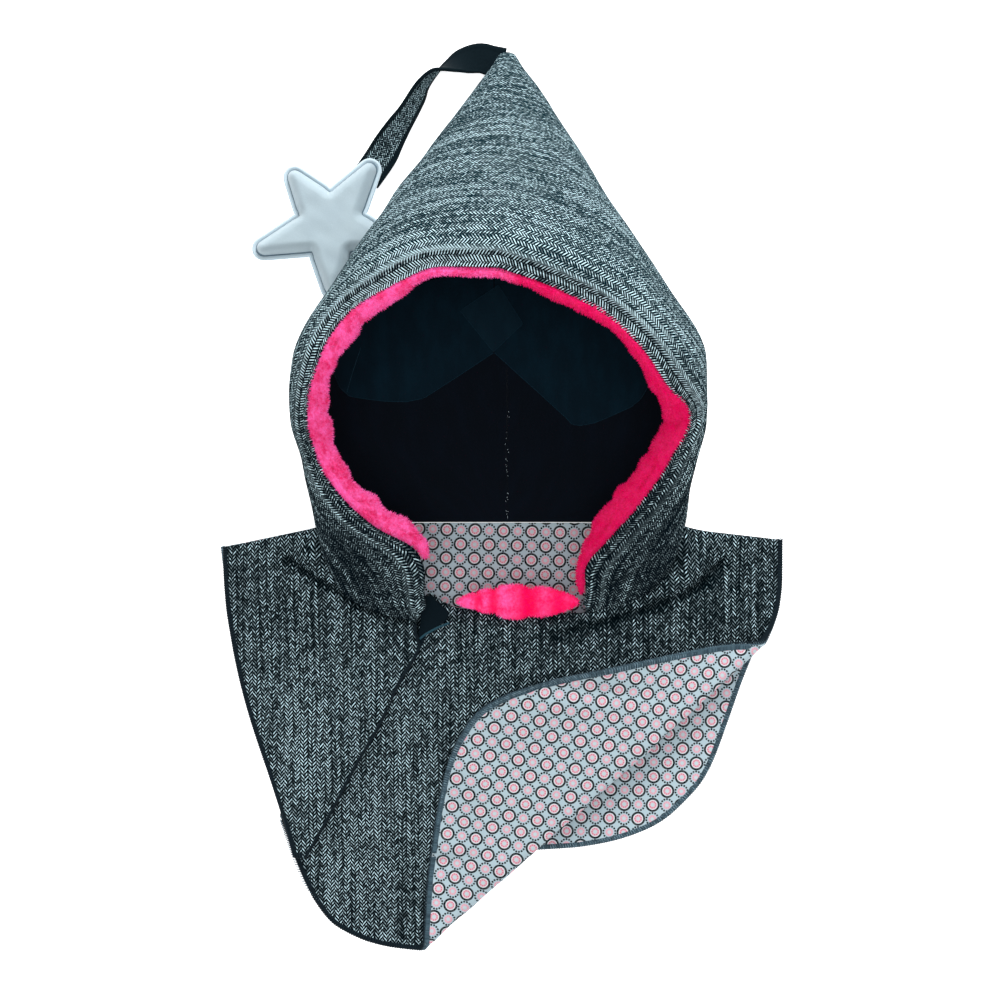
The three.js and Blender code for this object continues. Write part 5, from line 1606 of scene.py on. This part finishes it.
def star_rise(points, edge):
    """Share of the fullness above the seam: it rises fast from the seam and is nearly level inside."""
    following = np.roll(edge, -1, axis=0)
    span = following - edge
    t = np.sum((points[:, None] - edge[None]) * span[None], -1) / np.sum(span * span, -1)[None]
    nearest = edge[None] + np.clip(t, 0, 1)[..., None] * span[None]
    distance = np.min(np.linalg.norm(points[:, None] - nearest, axis=-1), axis=1)
    shoulder = 1 - (1 - np.clip(distance / STAR_SHOULDER, 0, 1)) ** 2
    dome = np.clip(1 - (np.hypot(*points.T) / max(STAR_POINTS)) ** 2, 0, 1)
    return (1 - STAR_DOME) * shoulder ** 0.7 + STAR_DOME * dome * shoulder


def star_mesh():
    """Two swollen faces that meet in a seam, with a narrow rolled rim beyond it."""
    edge = star_outline()
    sides = len(edge)
    across = np.roll(edge, -1, axis=0) - np.roll(edge, 1, axis=0)
    outward = unit(np.stack([across[:, 1], -across[:, 0]], -1))
    shares = np.concatenate([np.linspace(0.06, 0.9, 22), [0.93, 0.955, 0.975, 0.99, 1]])
    puckers = Waves(SEED + 3, STAR_PUCKER_LENGTH)
    points, faces, slots = [], [], []
    groove_from, rim_from = len(shares) - 3, len(shares)
    for up in (1, -1):
        size = STAR_CROWN if up > 0 else STAR_BELLY
        start = len(points)
        rings = []
        for share in shares:
            rise = size * star_rise(edge * share, edge) * (share < 1)
            wave = STAR_PUCKERS * puckers(edge[:, 0] * share, edge[:, 1] * share) * smooth((1 - share) / 0.1)
            rings.append((edge * share, rise + wave))
        rings += [(edge + outward * out, np.full(sides, rise)) for out, rise in zip(*STAR_RIM.values())]
        middle_rise = size * star_rise(np.zeros((1, 2)), edge)[0]
        points.append((STAR_X, STAR_Y, STAR_SEAM_Z + up * (STAR_FLANGE * 0.5 + middle_rise)))
        for plan, rise in rings:
            heights = STAR_SEAM_Z + up * (STAR_FLANGE * 0.5 + rise)
            points += [(STAR_X + x, STAR_Y + y, height) for (x, y), height in zip(plan, heights)]
        for k in range(sides):
            following = (k + 1) % sides
            made = [(start, start + 1 + k, start + 1 + following)]
            slots.append(0)
            for ring in range(len(rings) - 1):
                a = start + 1 + ring * sides
                made.append((a + k, a + sides + k, a + sides + following, a + following))
                # Faces by the seam take the groove's painted shade, and the rim's faces its painted light.
                slots.append(0 if ring < groove_from else 2 if ring < rim_from else 1)
            faces += made if up > 0 else [face[::-1] for face in made]
    top_edge = 1 + (len(rings) - 1) * sides
    low_edge = top_edge + 1 + len(rings) * sides
    for k in range(sides):
        following = (k + 1) % sides
        faces.append((top_edge + k, low_edge + k, low_edge + following, top_edge + following))
        slots.append(1)
    materials = [silver_cloth, silver_rim_painted_light, silver_groove_painted_shade]
    return new_object("star_silver", np.array(points), faces, materials, face_materials=slots, sharp=60)


star = star_mesh()

# Overlock stitches
OVERLOCK_PITCH, OVERLOCK_REACH, OVERLOCK_RADIUS = 1.5, 2.6, 0.26


def overlock_loop(half):
    """One thread over an edge: from inside on the upper face, round the edge, to inside on the lower."""
    upper = [(-0.5, OVERLOCK_REACH, half + 0.35), (-0.2, OVERLOCK_REACH * 0.5, half + 0.55)]
    upper = upper + [(0.1, 0, half + 0.45)]
    lower = [(x + 0.5, y, -z) for x, y, z in upper[::-1]]
    return upper + [(0.3, -0.75, 0)] + lower


for label, (line, inside, tweed_side, centre, half) in hems.items():
    along, inward = edge_directions(line, inside)
    face = unit(np.cross(along, inward))
    shares = evenly(line, OVERLOCK_PITCH)
    loop = thread_pattern(overlock_loop(half), OVERLOCK_RADIUS)
    upper = np.array([vertex.co.z > 0 for vertex in loop.data.vertices]) == (tweed_side > 0)
    on_tweed = loop.data.attributes.new("tweed_side", "FLOAT", "POINT")
    on_tweed.data.foreach_set("value", upper.astype(np.float32))
    hem_pieces[label + "_thread"] = thread_row(
        f"overlock_{label}", along_line(line + face * centre)(shares), along_line(along)(shares),
        along_line(face)(shares), loop, overlock_strands,
    )
    bpy.data.objects.remove(loop)

# Each piece hangs from the root, and its own part from model.glb is hidden
def declare(piece, slot, *nodes):
    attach(piece, "root")
    if nodes:
        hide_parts(*nodes)
    return piece


declare(hood_shell, "tweed", "hood_shell")
declare(hood_inner, "black_lining", "hood_lining")
declare(face_trim, "plush", "face_trim")
declare(chin_trim, "plush", "chin_trim")
declare(cape_front, "tweed", "cape_front")
declare(cape_front_lining, "print", "cape_front_lining")
declare(cape_left, "tweed", "cape_left")
declare(cape_back, "tweed", "cape_back")
declare(cape_back_lining, "print", "cape_back_lining")
declare(closure_tape, "tape", "closure_tape")
declare(tail_strap, "tweed", "tail_strap")
declare(star, "silver", "star")
for piece in hem_pieces.values():
    declare(piece, "tape")
for piece in (facing_left, facing_right, plain_patch, *lining_lines):
    declare(piece, "black_lining")
declare(tab_edge, "tape")


# Floor, light and camera
FLOOR_HALF, FLOOR_Z, FLOOR_GLOW, WORLD_LIGHT = 3, -0.0009, 0.7, 0.45
floor_finish = plain_finish("white_table", shade(250, 250, 250), roughness=0.9, fine_scale=20.0)
floor_shader = next(node for node in floor_finish.node_tree.nodes if node.type == "BSDF_PRINCIPLED")
floor_shader.inputs["Emission Color"].default_value = (1, 1, 1, 1)
floor_shader.inputs["Emission Strength"].default_value = FLOOR_GLOW
floor_mesh = bpy.data.meshes.new("floor")
corners = [(x * FLOOR_HALF, y * FLOOR_HALF, FLOOR_Z) for x, y in ((-1, -1), (1, -1), (1, 1), (-1, 1))]
floor_mesh.from_pydata(corners, [], [(0, 1, 2, 3)])
floor_mesh.materials.append(floor_finish)
floor = add_object("floor", floor_mesh)


def area_light(name, place, aim, size, power):
    light = bpy.data.lights.new(name, "AREA")
    light.shape, light.size, light.energy = "SQUARE", size, power
    lamp = add_object(name, light)
    lamp.location = place
    lamp.rotation_euler = (Vector(aim) - Vector(place)).to_track_quat("-Z", "Y").to_euler()


area_light("window", place=(0.3, 1.6, 1.0), aim=(0, 0.05, 0.03), size=0.9, power=30)
area_light("overhead", place=(-0.1, -0.1, 2.2), aim=(0, 0, 0), size=1.2, power=18)
world = bpy.data.worlds.new("studio")
world.use_nodes = True
background = world.node_tree.nodes["Background"]
background.inputs["Color"].default_value = (1, 1, 1, 1)
background.inputs["Strength"].default_value = WORLD_LIGHT
bpy.context.scene.world = world
bpy.context.scene.view_settings.view_transform = "Standard"

CAMERA_HEIGHT, CAMERA_Y = 1.0, 0.0252
camera_data = bpy.data.cameras.new("camera")
camera_data.lens, camera_data.sensor_width = 60, 36
camera = add_object("camera", camera_data)
camera.location = (0, CAMERA_Y, CAMERA_HEIGHT)
bpy.context.scene.camera = camera
